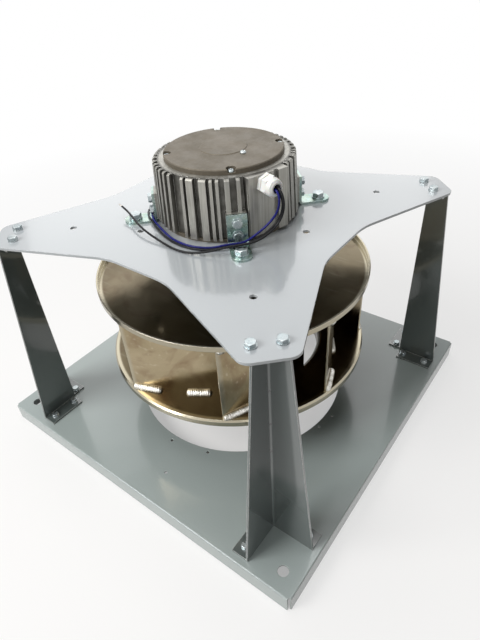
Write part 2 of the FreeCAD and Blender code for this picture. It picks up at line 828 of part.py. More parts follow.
def motor_housing():
    """Cast finned housing with a terminal face, strap pads and a neck for the cover."""
    body = new_body("motor_housing")
    bore = size["housing_bore"]
    neck = size["housing_neck"]
    neck_low = housing_top - size["housing_neck_height"]
    wall = [(bore, shield_top), (size["housing_root_low"], shield_top),
            (size["housing_root_high"], housing_top), (neck, housing_top), (neck, neck_low),
            (bore, neck_low)]
    spin(Drawing(body, "XZ_Plane").outline(wall))
    fins = []
    root_low = size["housing_root_low"] - size["fin_sink"]
    root_high = size["housing_root_high"] - size["fin_sink"]
    fin_top = housing_top - size["fin_chamfer"]
    shape = [(root_low, shield_top), (size["fin_low"], shield_top), (size["fin_high"], fin_top),
             (size["fin_high"] - size["fin_chamfer"], housing_top), (root_high, housing_top)]
    for middle, width in FINS:
        drawing = Drawing(body, "XZ_Plane", turn=middle - width / 2 - 45)
        fins.append(spin(drawing.outline(shape), angle=width))
    repeat_round(body, fins, COUNTS["corners"])
    turn = size["terminal_turn"].number
    face = size["terminal_face"]
    half = size["terminal_half"]
    block = housing_top - shield_top
    trim = Drawing(body, lift=shield_top, turn=turn)
    pocket(trim.box(face, -half, face + size["terminal_trim"], half), block, backwards=True)
    pad(Drawing(body, lift=shield_top, turn=turn).box(bore + size["overlap"], -half, face, half), block)
    rib = Drawing(body, lift=shield_top, turn=turn)
    rib_end = face + size["terminal_rib_rise"]
    pad(rib.box(face - size["overlap"], size["terminal_rib_start"], rib_end, half), block)
    groove = Drawing(body, lift=shield_top, turn=turn)
    groove_floor = face - size["terminal_groove_depth"]
    groove.box(groove_floor, size["terminal_groove_start"], face, size["terminal_rib_start"])
    pocket(groove, block, backwards=True)
    pads = []
    pad_low = size["strap_face"] - size["strap_pad_depth"]
    pad_half = size["strap_width"] / 2
    pad_drawing = Drawing(body, lift=shield_top, turn=45)
    pad_drawing.box(pad_low, -pad_half, size["strap_face"], pad_half)
    pads.append(pad(pad_drawing, star_top + size["strap_height"] - shield_top))
    hole = Drawing(body, "YZ_Plane", lift=size["strap_face"], turn=45)
    for height in (size["strap_low_bolt"], size["strap_high_bolt"]):
        hole.circle(0, star_top + height, size["six_thread"])
    pads.append(pocket(hole, size["strap_pad_depth"] - size["thread_end"]))
    repeat_round(body, pads, COUNTS["corners"])
    gland = Drawing(body, "YZ_Plane", lift=face, turn=turn)
    gland.circle(size["gland_along"], star_top + size["gland_height"], size["gland_thread"])
    pocket(gland, size["gland_thread_length"])
    screws = Drawing(body, lift=housing_top)
    for x, y in ring_of_places(size["cover_screw_circle"], COUNTS["corners"], 45):
        screws.circle(x, y, size["screw_four_thread"])
    pocket(screws, size["housing_neck_height"])
    screws = Drawing(body, lift=shield_top)
    for x, y in ring_of_places(size["shield_screw_circle"], COUNTS["corners"]):
        screws.circle(x, y, size["screw_four_thread"])
    pocket(screws, size["screw_four_length"], backwards=True)
    keep(body, "motor_housing")


def motor_cover():
    """Cast cover: notched rim, raised middle, spigot, and the upper bearing's seat below."""
    body = new_body("motor_cover")
    seat = size["upper_bearing_radius"]
    hub = seat + size["cover_seat_wall"]
    spigot = size["housing_neck"] - size["spigot_clearance"]
    low = cover_top - size["cover_sheet"]
    profile = [(0, spring_top), (seat, spring_top), (seat, upper_seat), (hub, upper_seat),
               (hub, low - size["cover_spigot"]), (spigot, low - size["cover_spigot"]),
               (spigot, low), (size["cover_radius"], low),
               (size["cover_radius"], cover_top - size["cover_edge"]),
               (size["cover_radius"] - size["cover_edge"], cover_top),
               (size["cover_boss_radius"] + size["cover_boss_rise"], cover_top),
               (size["cover_boss_radius"], cover_top + size["cover_boss_rise"]),
               (0, cover_top + size["cover_boss_rise"])]
    spin(Drawing(body, "XZ_Plane").outline(profile))
    places = ring_of_places(size["cover_screw_circle"], COUNTS["corners"], 45)
    notches = Drawing(body, lift=cover_top)
    for x, y in places:
        notches.circle(x, y, size["cover_notch_radius"])
    pocket(notches, size["cover_notch_depth"])
    holes = Drawing(body, lift=cover_top)
    for x, y in places:
        holes.circle(x, y, size["screw_four_thread"] + size["hole_clearance"])
    pocket(holes, size["cover_sheet"])
    plug = Drawing(body, lift=cover_top)
    x, y = on_circle(size["plug_screw_circle"], size["plug_screw_turn"])
    plug.circle(x, y, size["screw_four_thread"])
    pocket(plug, size["cover_sheet"] - size["plug_floor"])
    keep(body, "motor_cover")


def pan_screw(name, length):
    """Small pan-head screw master: the head stands on z = 0, with a cross-shaped recess."""
    body = new_body(name)
    head = size["screw_four_head"]
    height = size["screw_four_head_height"]
    profile = [(0, 0), (head, 0), (head, height * PAN_EDGE), (head * PAN_TOP, height), (0, height)]
    spin(Drawing(body, "XZ_Plane").outline(profile))
    pad(Drawing(body).circle(0, 0, size["screw_four_thread"]), length, backwards=True)
    arm = head * CROSS_REACH
    thin = head * CROSS_WIDTH
    for width, depth in ((arm, thin), (thin, arm)):
        pocket(Drawing(body, lift=height).box(-width, -depth, width, depth), height * CROSS_DEPTH)
    return body


def motor_screws():
    notch_floor = cover_top - size["cover_notch_depth"]
    neck_low = housing_top - size["housing_neck_height"]
    cover_places = ring_of_places(size["cover_screw_circle"], COUNTS["corners"], 45)
    screw = pan_screw("cover_screw", notch_floor - neck_low - size["screw_end_gap"])
    plug = pan_screw("plug_screw", size["cover_sheet"] - size["plug_floor"] - size["screw_end_gap"])
    plug_place = on_circle(size["plug_screw_circle"], size["plug_screw_turn"])
    screws = copies_of(screw, upright(cover_places, notch_floor))
    gather("cover_screws", screws + copies_of(plug, upright([plug_place], cover_top)))
    shield = new_body("shield_screw")
    recess = star_top + size["screw_four_head_height"]
    spin(Drawing(shield, "XZ_Plane").box(0, -size["screw_four_head_height"],
                                         size["screw_four_head"], 0))
    length = shield_top - recess + size["screw_four_length"] - size["screw_end_gap"]
    pad(Drawing(shield).circle(0, 0, size["screw_four_thread"]), length)
    shield_places = ring_of_places(size["shield_screw_circle"], COUNTS["corners"])
    placed_copies("end_shield_screws", shield, upright(shield_places, recess))


def lower_end_shield():
    """End shield between housing and star plate: a flange and a nose through the plate."""
    body = new_body("lower_end_shield")
    seat = size["lower_bearing_radius"]
    nose = size["shield_nose_radius"]
    wall = size["shield_wall"]
    spigot = size["housing_bore"] - size["spigot_clearance"]
    spigot_top = shield_top + size["shield_spigot"]
    profile = [(size["seal_radius"], shield_bottom), (nose, shield_bottom), (nose, star_top),
               (size["shield_flange_radius"], star_top),
               (size["shield_flange_radius"], shield_top), (spigot, shield_top),
               (spigot, spigot_top), (spigot - wall, spigot_top), (spigot - wall, shield_top),
               (seat + wall, shield_top), (seat + wall, lower_bearing_top), (seat, lower_bearing_top),
               (seat, lower_seat), (size["seal_radius"], lower_seat)]
    spin(Drawing(body, "XZ_Plane").outline(profile))
    heads = Drawing(body, lift=star_top)
    holes = Drawing(body, lift=star_top)
    for x, y in ring_of_places(size["shield_screw_circle"], COUNTS["corners"]):
        heads.circle(x, y, size["screw_four_head"] + size["hole_clearance"])
        holes.circle(x, y, size["screw_four_thread"] + size["hole_clearance"])
    pocket(heads, size["screw_four_head_height"], backwards=True)
    pocket(holes, size["shield_flange"], backwards=True)
    keep(body, "lower_end_shield")


def stator_core():
    """Laminated ring with slots that open towards the rotor."""
    body = ring("stator_core", size["stator_bore"], size["housing_bore"], stator_bottom, stator_top)
    half = size["slot_width"] / 2
    slot = Drawing(body, lift=stator_top)
    slot.box(size["slot_start"], -half, size["slot_start"] + size["slot_depth"], half)
    cut = pocket(slot, size["stator_height"])
    repeat_round(body, [cut], COUNTS["slots"])
    keep(body, "stator_core")


def stator_windings():
    """Copper bars in the slots, joined by the two rounded end windings."""
    gap = size["winding_gap"]
    inner = size["winding_inner"]
    outer = size["winding_outer"]
    low = stator_bottom - gap
    high = stator_top + gap
    corner = size["winding_corner"]
    body = new_body("stator_windings")
    for level, side in ((low, -1), (high, 1)):
        far = level + size["winding_height"] * side
        near_far = far - corner * side
        profile = [(inner, level), (outer, level), (outer, near_far), (outer - corner, far),
                   (inner + corner, far), (inner, near_far)]
        spin(Drawing(body, "XZ_Plane").outline(profile))
    clear = size["slot_clearance"]
    half = size["slot_width"] / 2 - clear
    bars = Drawing(body, lift=low - size["overlap"])
    start = size["slot_start"] + clear
    bars.box(start, -half, size["slot_start"] + size["slot_depth"] - clear, half)
    repeat_round(body, [pad(bars, high - low + size["overlap"] * 2)], COUNTS["slots"])
    keep(body, "stator_windings")


def rotor_core():
    """Laminated rotor with its two cast end rings."""
    body = new_body("rotor_core")
    outer = size["stator_bore"] - size["air_gap"]
    inner = size["rotor_shaft"]
    step = size["rotor_ring_inner"]
    rise = size["rotor_ring_rise"]
    crest = outer - size["rotor_ring_slope"]
    profile = [(inner, stator_bottom), (step, stator_bottom), (step, stator_bottom - rise),
               (crest, stator_bottom - rise), (outer, stator_bottom), (outer, stator_top),
               (crest, stator_top + rise), (step, stator_top + rise), (step, stator_top),
               (inner, stator_top)]
    spin(Drawing(body, "XZ_Plane").outline(profile))
    keep(body, "rotor_core")


def bearing(prefix, bore, outside, low, width):
    """Deep-groove bearing: outer ring, inner ring and balls, each a node."""
    middle = (bore + outside) / 2
    ball = (outside - bore) * BALL_SHARE
    shoulder = (outside - bore) * SHOULDER_SHARE
    high = low + width
    centre = low + width / 2
    outer = ring(prefix + "_outer_ring", outside - shoulder, outside, low, high)
    groove = Drawing(outer, "XZ_Plane").circle(middle, centre, ball + size["ball_clearance"])
    spin(groove, "Groove")
    keep(outer, prefix + "_outer_ring")
    inner = ring(prefix + "_inner_ring", bore, bore + shoulder, low, high)
    spin(Drawing(inner, "XZ_Plane").circle(middle, centre, ball), "Groove")
    keep(inner, prefix + "_inner_ring")
    master = doc.addObject("Part::Sphere", prefix + "_ball")
    bind(master, "Radius", ball)
    places = ring_of_places(middle, COUNTS["bearing_balls"])
    placed_copies(prefix + "_balls", master, upright(places, centre))


def bearings():
    bearing("upper_bearing", size["upper_shaft"], size["upper_bearing_radius"], upper_seat,
            size["upper_bearing_width"])
    bearing("lower_bearing", size["lower_shaft"], size["lower_bearing_radius"], lower_seat,
            size["lower_bearing_width"])
    outer = size["upper_bearing_radius"]
    keep(ring("preload_spring", outer - size["spring_width"], outer - size["ring_wall"], upper_bearing_top,
              spring_top), "preload_spring")
    running = size["shaft_radius"] + size["seal_clearance"]
    keep(ring("shaft_seal", running, size["seal_radius"], shield_bottom, lower_seat), "shaft_seal")


def shaft():
    """Stepped motor shaft with a keyway and a tapped lower end."""
    body = new_body("shaft")
    lower = size["lower_shaft"]
    middle = size["rotor_shaft"]
    upper = size["upper_shaft"]
    plain = size["shaft_radius"]
    bore = size["eight_thread"]
    end = hub_bottom + size["shaft_end_gap"]
    chamfer = size["shaft_chamfer"]
    top = upper_bearing_top
    shoulder = lower_bearing_top
    profile = [(bore, end), (plain, end), (plain, lower_seat), (lower, lower_seat),
               (lower, shoulder), (middle, shoulder), (middle, upper_seat), (upper, upper_seat),
               (upper, top - chamfer), (upper - chamfer, top), (0, top), (0, end + size["shaft_bore_depth"]),
               (bore, end + size["shaft_bore_depth"])]
    spin(Drawing(body, "XZ_Plane").outline(profile))
    half = size["key_width"] / 2
    way = Drawing(body, lift=backplate_top)
    way.box(plain - size["key_sink"], -half, plain + size["key_sink"], half)
    pocket(way, size["key_length"], backwards=True)
    keep(body, "shaft")


def impeller_hub():
    """Turned hub: boss on the shaft, flange on the back disc, pilot through its hole."""
    body = new_body("impeller_hub")
    bore = size["shaft_radius"]
    boss = size["hub_boss_radius"]
    flange = size["hub_flange_radius"]
    flange_top = backplate_top + size["hub_flange_sheet"]
    pilot = size["hub_pilot_radius"]
    root_size = size["hub_root"]
    chamfer = size["hub_chamfer"]
    profile = [(bore, hub_bottom), (pilot, hub_bottom), (pilot, backplate_top),
               (flange, backplate_top), (flange, flange_top), (boss + root_size, flange_top),
               (boss, flange_top + root_size), (boss, hub_top - chamfer), (boss - chamfer, hub_top),
               (bore, hub_top)]
    spin(Drawing(body, "XZ_Plane").outline(profile))
    half = size["key_width"] / 2
    reach = bore - size["key_sink"] + size["key_height"]
    way = Drawing(body, lift=hub_bottom).box(bore - size["overlap"], -half, reach, half)
    pocket(way, hub_top - hub_bottom, backwards=True)
    rivets = Drawing(body, lift=flange_top)
    for x, y in ring_of_places(size["hub_rivet_circle"], COUNTS["hub_rivets"]):
        rivets.circle(x, y, size["rivet_radius"])
    pocket(rivets, size["hub_flange_sheet"])
    keep(body, "impeller_hub")


def hub_fixings():
    """Key, rivets, and the washer and bolt that hold the hub on the shaft."""
    key = new_body("shaft_key")
    start = size["shaft_radius"] - size["key_sink"]
    half = size["key_width"] / 2
    drawing = Drawing(key, lift=backplate_top)
    pad(drawing.box(start, -half, start + size["key_height"], half), size["key_length"])
    keep(key, "shaft_key")
    rivet = new_body("hub_rivet")
    grip = size["hub_flange_sheet"] + size["impeller_sheet"]
    shank = size["rivet_radius"]
    head = size["rivet_head_radius"]
    rise = size["rivet_head"]
    profile = [(0, -rise), (head * RIVET_FLAT, -rise), (head, rise * -RIVET_EDGE), (head, 0), (shank, 0),
               (shank, grip), (head, grip), (head, grip + rise * RIVET_EDGE), (head * RIVET_FLAT, grip + rise),
               (0, grip + rise)]
    spin(Drawing(rivet, "XZ_Plane").outline(profile))
    places = ring_of_places(size["hub_rivet_circle"], COUNTS["hub_rivets"])
    placed_copies("hub_rivets", rivet, upright(places, backplate_underside))
    washer_low = hub_bottom - size["end_washer_sheet"]
    bore = size["eight_thread"] + size["hole_clearance"]
    keep(ring("shaft_end_washer", bore, size["end_washer_radius"], washer_low, hub_bottom),
         "shaft_end_washer")
    length = size["end_washer_sheet"] + size["shaft_bolt_reach"]
    bolt = hex_bolt("shaft_end_bolt_master", "eight", length)
    upside_down = FreeCAD.Rotation(V(1, 0, 0), 180)
    placed_copies("shaft_end_bolt", bolt, [(0, 0, washer_low, upside_down)])


def backplate():
    """Back disc of the impeller, with its rim turned up."""
    body = new_body("impeller_backplate")
    sheet = size["impeller_sheet"]
    outer = size["impeller_radius"]
    bend = size["rim_bend"]
    rim_top = backplate_underside + size["backplate_rim"]
    profile = [(size["hub_pilot_radius"], backplate_underside), (outer - bend, backplate_underside),
               (outer, backplate_underside + bend), (outer, rim_top), (outer - sheet, rim_top),
               (outer - sheet, backplate_top), (size["hub_pilot_radius"], backplate_top)]
    spin(Drawing(body, "XZ_Plane").outline(profile))
    rivets = Drawing(body, lift=backplate_top)
    for x, y in ring_of_places(size["hub_rivet_circle"], COUNTS["hub_rivets"]):
        rivets.circle(x, y, size["rivet_radius"])
    pocket(rivets, sheet)
    keep(body, "impeller_backplate")


def shroud():
    """Inlet disc of the impeller: rim turned down, middle drawn into a short throat."""
    body = new_body("impeller_shroud")
    sheet = size["impeller_sheet"]
    outer = size["impeller_radius"]
    throat = size["throat_radius"]
    bend = size["throat_bend"]
    rim_low = shroud_face - size["shroud_rim"]
    neck_low = shroud_face - bend - size["throat_neck"]
    flat_start = throat + bend
    air_side = []
    back_side = []
    for step in range(THROAT_STEPS + 1):
        angle = 90 + 90 * step / THROAT_STEPS
        across, up = cosine(angle), sine(angle)
        air_side.append((flat_start + bend * across, shroud_face - bend + bend * up))
        back = bend - sheet
        back_side.append((flat_start + back * across, shroud_face - bend + back * up))
    profile = [(outer - size["rim_bend"], shroud_face)] + air_side
    profile += [(throat, neck_low), (throat + sheet, neck_low)] + back_side[::-1]
    profile += [(outer - sheet, shroud_face - sheet), (outer - sheet, rim_low), (outer, rim_low),
                (outer, shroud_face - size["rim_bend"])]
    spin(Drawing(body, "XZ_Plane").outline(profile))
    keep(body, "impeller_shroud")


# The blade's mean line is an arc from the outlet, on the X axis, to the inner edge.
outlet = (size["blade_tip_radius"], as_size(0))
inner_edge = on_circle(size["blade_inner_radius"], size["blade_sweep"])
chord_x = inner_edge[0] - outlet[0]
chord_y = inner_edge[1] - outlet[1]
chord = worked("blade_chord", root(chord_x * chord_x + chord_y * chord_y))
curve = size["blade_curve"]
arc_height = worked("blade_arc_height", root(curve * curve - chord * chord / 4))
centre_x = (outlet[0] + inner_edge[0]) / 2 - chord_y / chord * arc_height
centre_y = (outlet[1] + inner_edge[1]) / 2 + chord_x / chord * arc_height
blade_centre = (worked("blade_centre_x", centre_x), worked("blade_centre_y", centre_y))


def blade_end(end, radius):
    """The point of the given arc radius that lies square to the mean line's end."""
    share = radius / curve
    return (blade_centre[0] + (end[0] - blade_centre[0]) * share,
            blade_centre[1] + (end[1] - blade_centre[1]) * share)


def blade(label, angle):
    """One curved blade, standing between the two discs."""
    body = new_body(label)
    drawing = Drawing(body, lift=shroud_face)
    outside = curve + size["blade_sheet"] / 2
    inside = curve - size["blade_sheet"] / 2
    sides = []
    corners = []
    for radius in (outside, inside):
        ends = blade_end(outlet, radius), blade_end(inner_edge, radius)
        sides.append(drawing.arc(blade_centre, radius, *ends))
        corners.append([V(x.number, y.number, 0) for x, y in ends])
    for vertex_number, (first, second) in enumerate(zip(*corners), start=1):
        line = drawing.sketch.addGeometry(Part.LineSegment(first, second), False)
        for line_end, side in ((1, sides[0]), (2, sides[1])):
            rule = Sketcher.Constraint("Coincident", line, line_end, side, vertex_number)
            drawing.sketch.addConstraint(rule)
    pad(drawing, size["blade_height"])
    body.Placement = turned(angle)
    keep(body, label)


def blade_angles():
    count = size["blade_count"].number
    return [size["blade_turn"].number + 360 / count * step for step in range(count)]


def impeller_welds():
    """Stitch beads along the blades' outer faces and tacks under the back disc."""
    beads = []
    radius = curve + size["blade_sheet"] / 2
    start_angle = math.degrees(math.atan2(-blade_centre[1].number,
                                          outlet[0].number - blade_centre[0].number))
    first = (shroud_face, -90, 0, 0, size["bead_length"])
    second = (shroud_face, -90, 0, size["bead_second_start"].number, size["bead_second_length"])
    tack = (backplate_underside, 0, 90, 0, size["tack_length"])
    for turn in blade_angles():
        for level, low, high, along, length in (first, second, tack):
            bead = doc.addObject("Part::Torus", "weld_bead")
            bind(bead, "Radius1", radius)
            bind(bead, "Radius2", size["bead_radius"])
            bead.Angle1 = low
            bead.Angle2 = high
            bind(bead, "Angle3", length / radius * (180 / math.pi))
            offset = math.degrees(along / radius.number)
            x, y = rotated(*blade_centre, turn)
            bead.Placement = turned(turn + start_angle + offset)
            bind(bead, "Placement.Base.x", x)
            bind(bead, "Placement.Base.y", y)
            bind(bead, "Placement.Base.z", level)
            beads.append(bead)
    gather("impeller_welds", beads)


def gland_placement():
    """Where the gland's own axis, its local Z, stands square on the terminal face."""
    turn = math.radians(size["terminal_turn"].number)
    outward = V(math.cos(turn), math.sin(turn), 0)
    sideways = V(-math.sin(turn), math.cos(turn), 0)
    base = outward * size["terminal_face"].number + sideways * size["gland_along"].number
    base.z = star_top.number + size["gland_height"].number
    return FreeCAD.Placement(base, FreeCAD.Rotation(V(0, 0, 1), outward))


def gland():
    """Cable gland: body screwed into the terminal face, domed nut and rubber insert."""
    place = gland_placement()
    reach = size["gland_reach"]
    hexagon = size["gland_hex"]
    mouth = size["gland_mouth"]
    neck = size["gland_neck"]
    neck_end = reach - size["gland_nut_wall"]
    body = new_body("gland_body")
    pad(Drawing(body).hexagon(size["gland_across"], 30), hexagon)
    pad(Drawing(body, lift=hexagon).circle(0, 0, neck), neck_end - hexagon)
    pad(Drawing(body).circle(0, 0, size["gland_thread"]), size["gland_thread_length"],
        backwards=True)
    pocket(Drawing(body, lift=neck_end).circle(0, 0, mouth), neck_end + size["gland_thread_length"])
    body.Placement = place
    keep(body, "gland_body")
    body = new_body("gland_nut")
    low = hexagon + size["gland_nut_gap"]
    pad(Drawing(body, lift=low).hexagon(size["gland_across"], 30), reach - low)
    across = size["gland_across"] / 2
    margin = size["overlap"]
    corner = size["gland_across"] / math.sqrt(3) + margin
    shoulder = low + (reach - low) / 2
    lip = mouth + size["gland_lip"]
    dome = Drawing(body, "XZ_Plane")
    dome.outline([(corner, shoulder), (across * DOME_START, shoulder),
                  (across * DOME_END, reach - size["gland_dome_drop"]), (lip, reach),
                  (lip, reach + margin), (corner, reach + margin)])
    spin(dome, "Groove")
    pocket(Drawing(body, lift=neck_end).circle(0, 0, neck), neck_end - low)
    pocket(Drawing(body, lift=reach).circle(0, 0, mouth), size["gland_nut_wall"])
    body.Placement = place
    keep(body, "gland_nut")
    body = new_body("gland_seal")
    pad(Drawing(body, lift=hexagon).circle(0, 0, mouth), size["gland_seal_end"] - hexagon)
    body.Placement = place
    keep(body, "gland_seal")


# Motor wires: each route is a list of points chosen by hand, from the gland's rubber insert
# outwards. A point is its plan place and its height above the star plate.

ROUTES = {
    "wire_blue": [
        (91.3, -36.1, 63), (98.15, -38.35, 63), (103, -39.9, 57.9), (103.1, -39.6, 49),
        (99.7, -38, 38.5), (94.3, -39.8, 28.8), (88, -46, 20), (81, -55, 12.5),
        (74.5, -63, 6.8), (67, -67.8, 4.7), (57.5, -77, 4.7), (46, -86.5, 2), (31, -94, 1.5),
        (14, -97, 1.5), (-4, -95.5, 1.5), (-21, -90, 1.5), (-38, -82.5, 1.8), (-55.5, -76, 4.5),
        (-66.9, -67.2, 4.7), (-77, -56.5, 4.7), (-84.5, -43.5, 2), (-89.5, -28, 1.5),
        (-92, -12, 1.5), (-91.5, 4, 1.5)],
    "wire_black_short": [
        (92.2, -33.3, 61.5), (99.1, -35.55, 61.5), (104, -37.1, 56.4), (104.8, -35.6, 47.5),
        (103, -34.8, 37), (99.3, -37, 26.8), (93.5, -44.5, 17.8), (86.5, -54.5, 10.4),
        (79, -64.5, 6), (70.4, -71.3, 4.7), (61, -80, 4.7), (49, -90, 2), (33.5, -97.8, 1.5),
        (15.5, -101.2, 1.5), (-3.5, -99.7, 1.5), (-22, -94.2, 1.5), (-40, -86.3, 1.8),
        (-56.5, -78, 4.4), (-70.6, -70.4, 4.7), (-81, -59.3, 4.7), (-88.5, -45.5, 2),
        (-93.7, -29.5, 1.5), (-96.2, -13.5, 1.5)],
    "wire_black_long": [
        (92.1, -33.6, 64.5), (100.4, -36.3, 64.5), (106.4, -38.3, 58.4), (107.8, -37.8, 48.5),
        (106.3, -37.8, 37.5), (102.8, -41, 27), (98.5, -49.5, 19.5), (94, -60, 15),
        (87.5, -70, 12.3), (79, -78.7, 11.8), (67.5, -88.5, 10.4), (53.5, -98, 6),
        (38.5, -106, 3), (22.5, -110.5, 1.6), (6, -110.5, 1.6), (-10, -108.5, 2.8),
        (-26.5, -106.5, 4.9), (-43, -103.5, 7.1), (-59, -98.5, 9.1), (-73, -92.5, 11.1),
        (-86, -86.6, 11.6), (-98.5, -82.5, 12.8), (-110, -80, 14.5)],
}
ARC_SHARE = 0.45


def wire(label):
    """A motor wire: a round tube along straight runs that tangent arcs join."""
    points = [V(x, y, star_top.number + height) for x, y, height in ROUTES[label]]
    edges = []
    radii = []
    start = points[0]
    for before, corner, after in zip(points, points[1:], points[2:]):
        incoming = corner - before
        outgoing = after - corner
        half_turn = incoming.getAngle(outgoing) / 2
        cut = ARC_SHARE * min(incoming.Length, outgoing.Length)
        radius = cut / math.tan(half_turn)
        incoming.normalize()
        outgoing.normalize()
        inwards = outgoing - incoming
        inwards.normalize()
        enter = corner - incoming * cut
        leave = corner + outgoing * cut
        middle = corner + inwards * (radius / math.cos(half_turn) - radius)
        edges.append(Part.LineSegment(start, enter).toShape())
        edges.append(Part.Arc(enter, middle, leave).toShape())
        radii.append(radius)
        start = leave
    edges.append(Part.LineSegment(start, points[-1]).toShape())
    path = Part.Wire(edges)
    wire_radius = doc.Sizes.wire_radius
    section = Part.Wire(Part.makeCircle(wire_radius, points[0], points[1] - points[0]))
    tube = doc.addObject("Part::Feature", label)
    tube.Shape = path.makePipe(Part.Face(section))
    expected = math.pi * wire_radius ** 2 * path.Length
    listed = " ".join(f"{radius:.1f}" for radius in radii)
    print(f"{label}: length {path.Length:.0f}, radii {listed}, volume against section times "
          f"length {tube.Shape.Volume / expected:.4f}")
    keep(tube, label)


def write_out():
    doc.recompute()
    failed = [item.Label for item in doc.Objects
              if "Invalid" in item.State or "Error" in item.State]
    if failed:
        raise RuntimeError("not built: " + ", ".join(failed))
    os.makedirs("parts", exist_ok=True)
    for node in nodes:
        shape = node.Shape
        if shape.isNull() or not shape.isValid() or not shape.Solids:
            raise RuntimeError("no valid solid: " + node.Label)
        box = shape.BoundBox
        print(f"{node.Label}: {len(shape.Solids)} solids, z {box.ZMin:.1f} to {box.ZMax:.1f}, "
              f"{shape.Volume / 1000:.2f} cm3")
        shape.exportStep(f"parts/{node.Label}.step")


CORNERS = {"front": 0, "right": 90, "back": 180, "left": 270}

base_plate()
for corner_name, corner_turn in CORNERS.items():
    leg("leg_" + corner_name, corner_turn)
star_plate()
frame_fasteners()
for corner_name, corner_turn in CORNERS.items():
    strap("motor_strap_" + corner_name, corner_turn - 45)
strap_motor_fasteners()
motor_housing()
motor_cover()
motor_screws()
lower_end_shield()
stator_core()
stator_windings()
rotor_core()
bearings()
shaft()
impeller_hub()
hub_fixings()
backplate()
shroud()
for number, angle in enumerate(blade_angles(), start=1):
    blade(f"blade_{number}", angle)
impeller_welds()
gland()
for wire_label in ROUTES:
    wire(wire_label)
write_out()
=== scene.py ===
"""Plug fan on a square inlet plate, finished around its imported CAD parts. Lengths are in metres."""
import json
import math

import bmesh
import bpy
from mathutils import Matrix, Vector, noise


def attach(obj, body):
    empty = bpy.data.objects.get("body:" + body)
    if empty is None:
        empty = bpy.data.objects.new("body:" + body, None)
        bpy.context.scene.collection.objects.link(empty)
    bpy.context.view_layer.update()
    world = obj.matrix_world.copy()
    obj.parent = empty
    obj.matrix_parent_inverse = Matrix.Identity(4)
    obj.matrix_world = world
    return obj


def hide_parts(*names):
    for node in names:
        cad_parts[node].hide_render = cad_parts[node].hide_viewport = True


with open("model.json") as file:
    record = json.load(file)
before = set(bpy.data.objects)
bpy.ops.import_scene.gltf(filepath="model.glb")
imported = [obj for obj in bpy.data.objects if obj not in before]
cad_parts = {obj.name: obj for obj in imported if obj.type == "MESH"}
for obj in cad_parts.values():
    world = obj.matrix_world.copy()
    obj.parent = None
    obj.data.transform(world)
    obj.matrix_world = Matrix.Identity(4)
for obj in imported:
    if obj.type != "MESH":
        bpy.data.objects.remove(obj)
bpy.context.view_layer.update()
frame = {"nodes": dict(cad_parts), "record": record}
cad_nodes = frame["nodes"]

FRAME_BODY = "frame_and_motor"
WHEEL_BODY = "impeller_and_rotor"

# Viewing angle of the photograph

CAMERA_PLACE = Vector((0.37556, -0.44977, 0.59306))
CAMERA_AIM = Vector((-0.04708, 0.06354, 0.06934))
CAMERA_LEAN = math.radians(4.303)
CAMERA_LENS = 28.498
CAMERA_SENSOR = 36
CAMERA_NEAREST = 0.01
CAMERA_FARTHEST = 60


def place_camera():
    """Stands the camera where the photograph was taken, leaning a little to one side."""
    forward = (CAMERA_AIM - CAMERA_PLACE).normalized()
    level_right = forward.cross(Vector((0, 0, 1))).normalized()
    level_down = forward.cross(level_right)
    right = math.cos(CAMERA_LEAN) * level_right + math.sin(CAMERA_LEAN) * level_down
    down = forward.cross(right)
    turn = Matrix((right, -down, -forward)).transposed()
    lens = bpy.data.cameras.new("photo_camera")
    lens.lens = CAMERA_LENS
    lens.sensor_width = CAMERA_SENSOR
    lens.clip_start = CAMERA_NEAREST
    lens.clip_end = CAMERA_FARTHEST
    camera = bpy.data.objects.new("photo_camera", lens)
    camera.matrix_world = Matrix.Translation(CAMERA_PLACE) @ turn.to_4x4()
    bpy.context.scene.collection.objects.link(camera)
    bpy.context.scene.camera = camera


# Motor wires: the same route points as the part's source

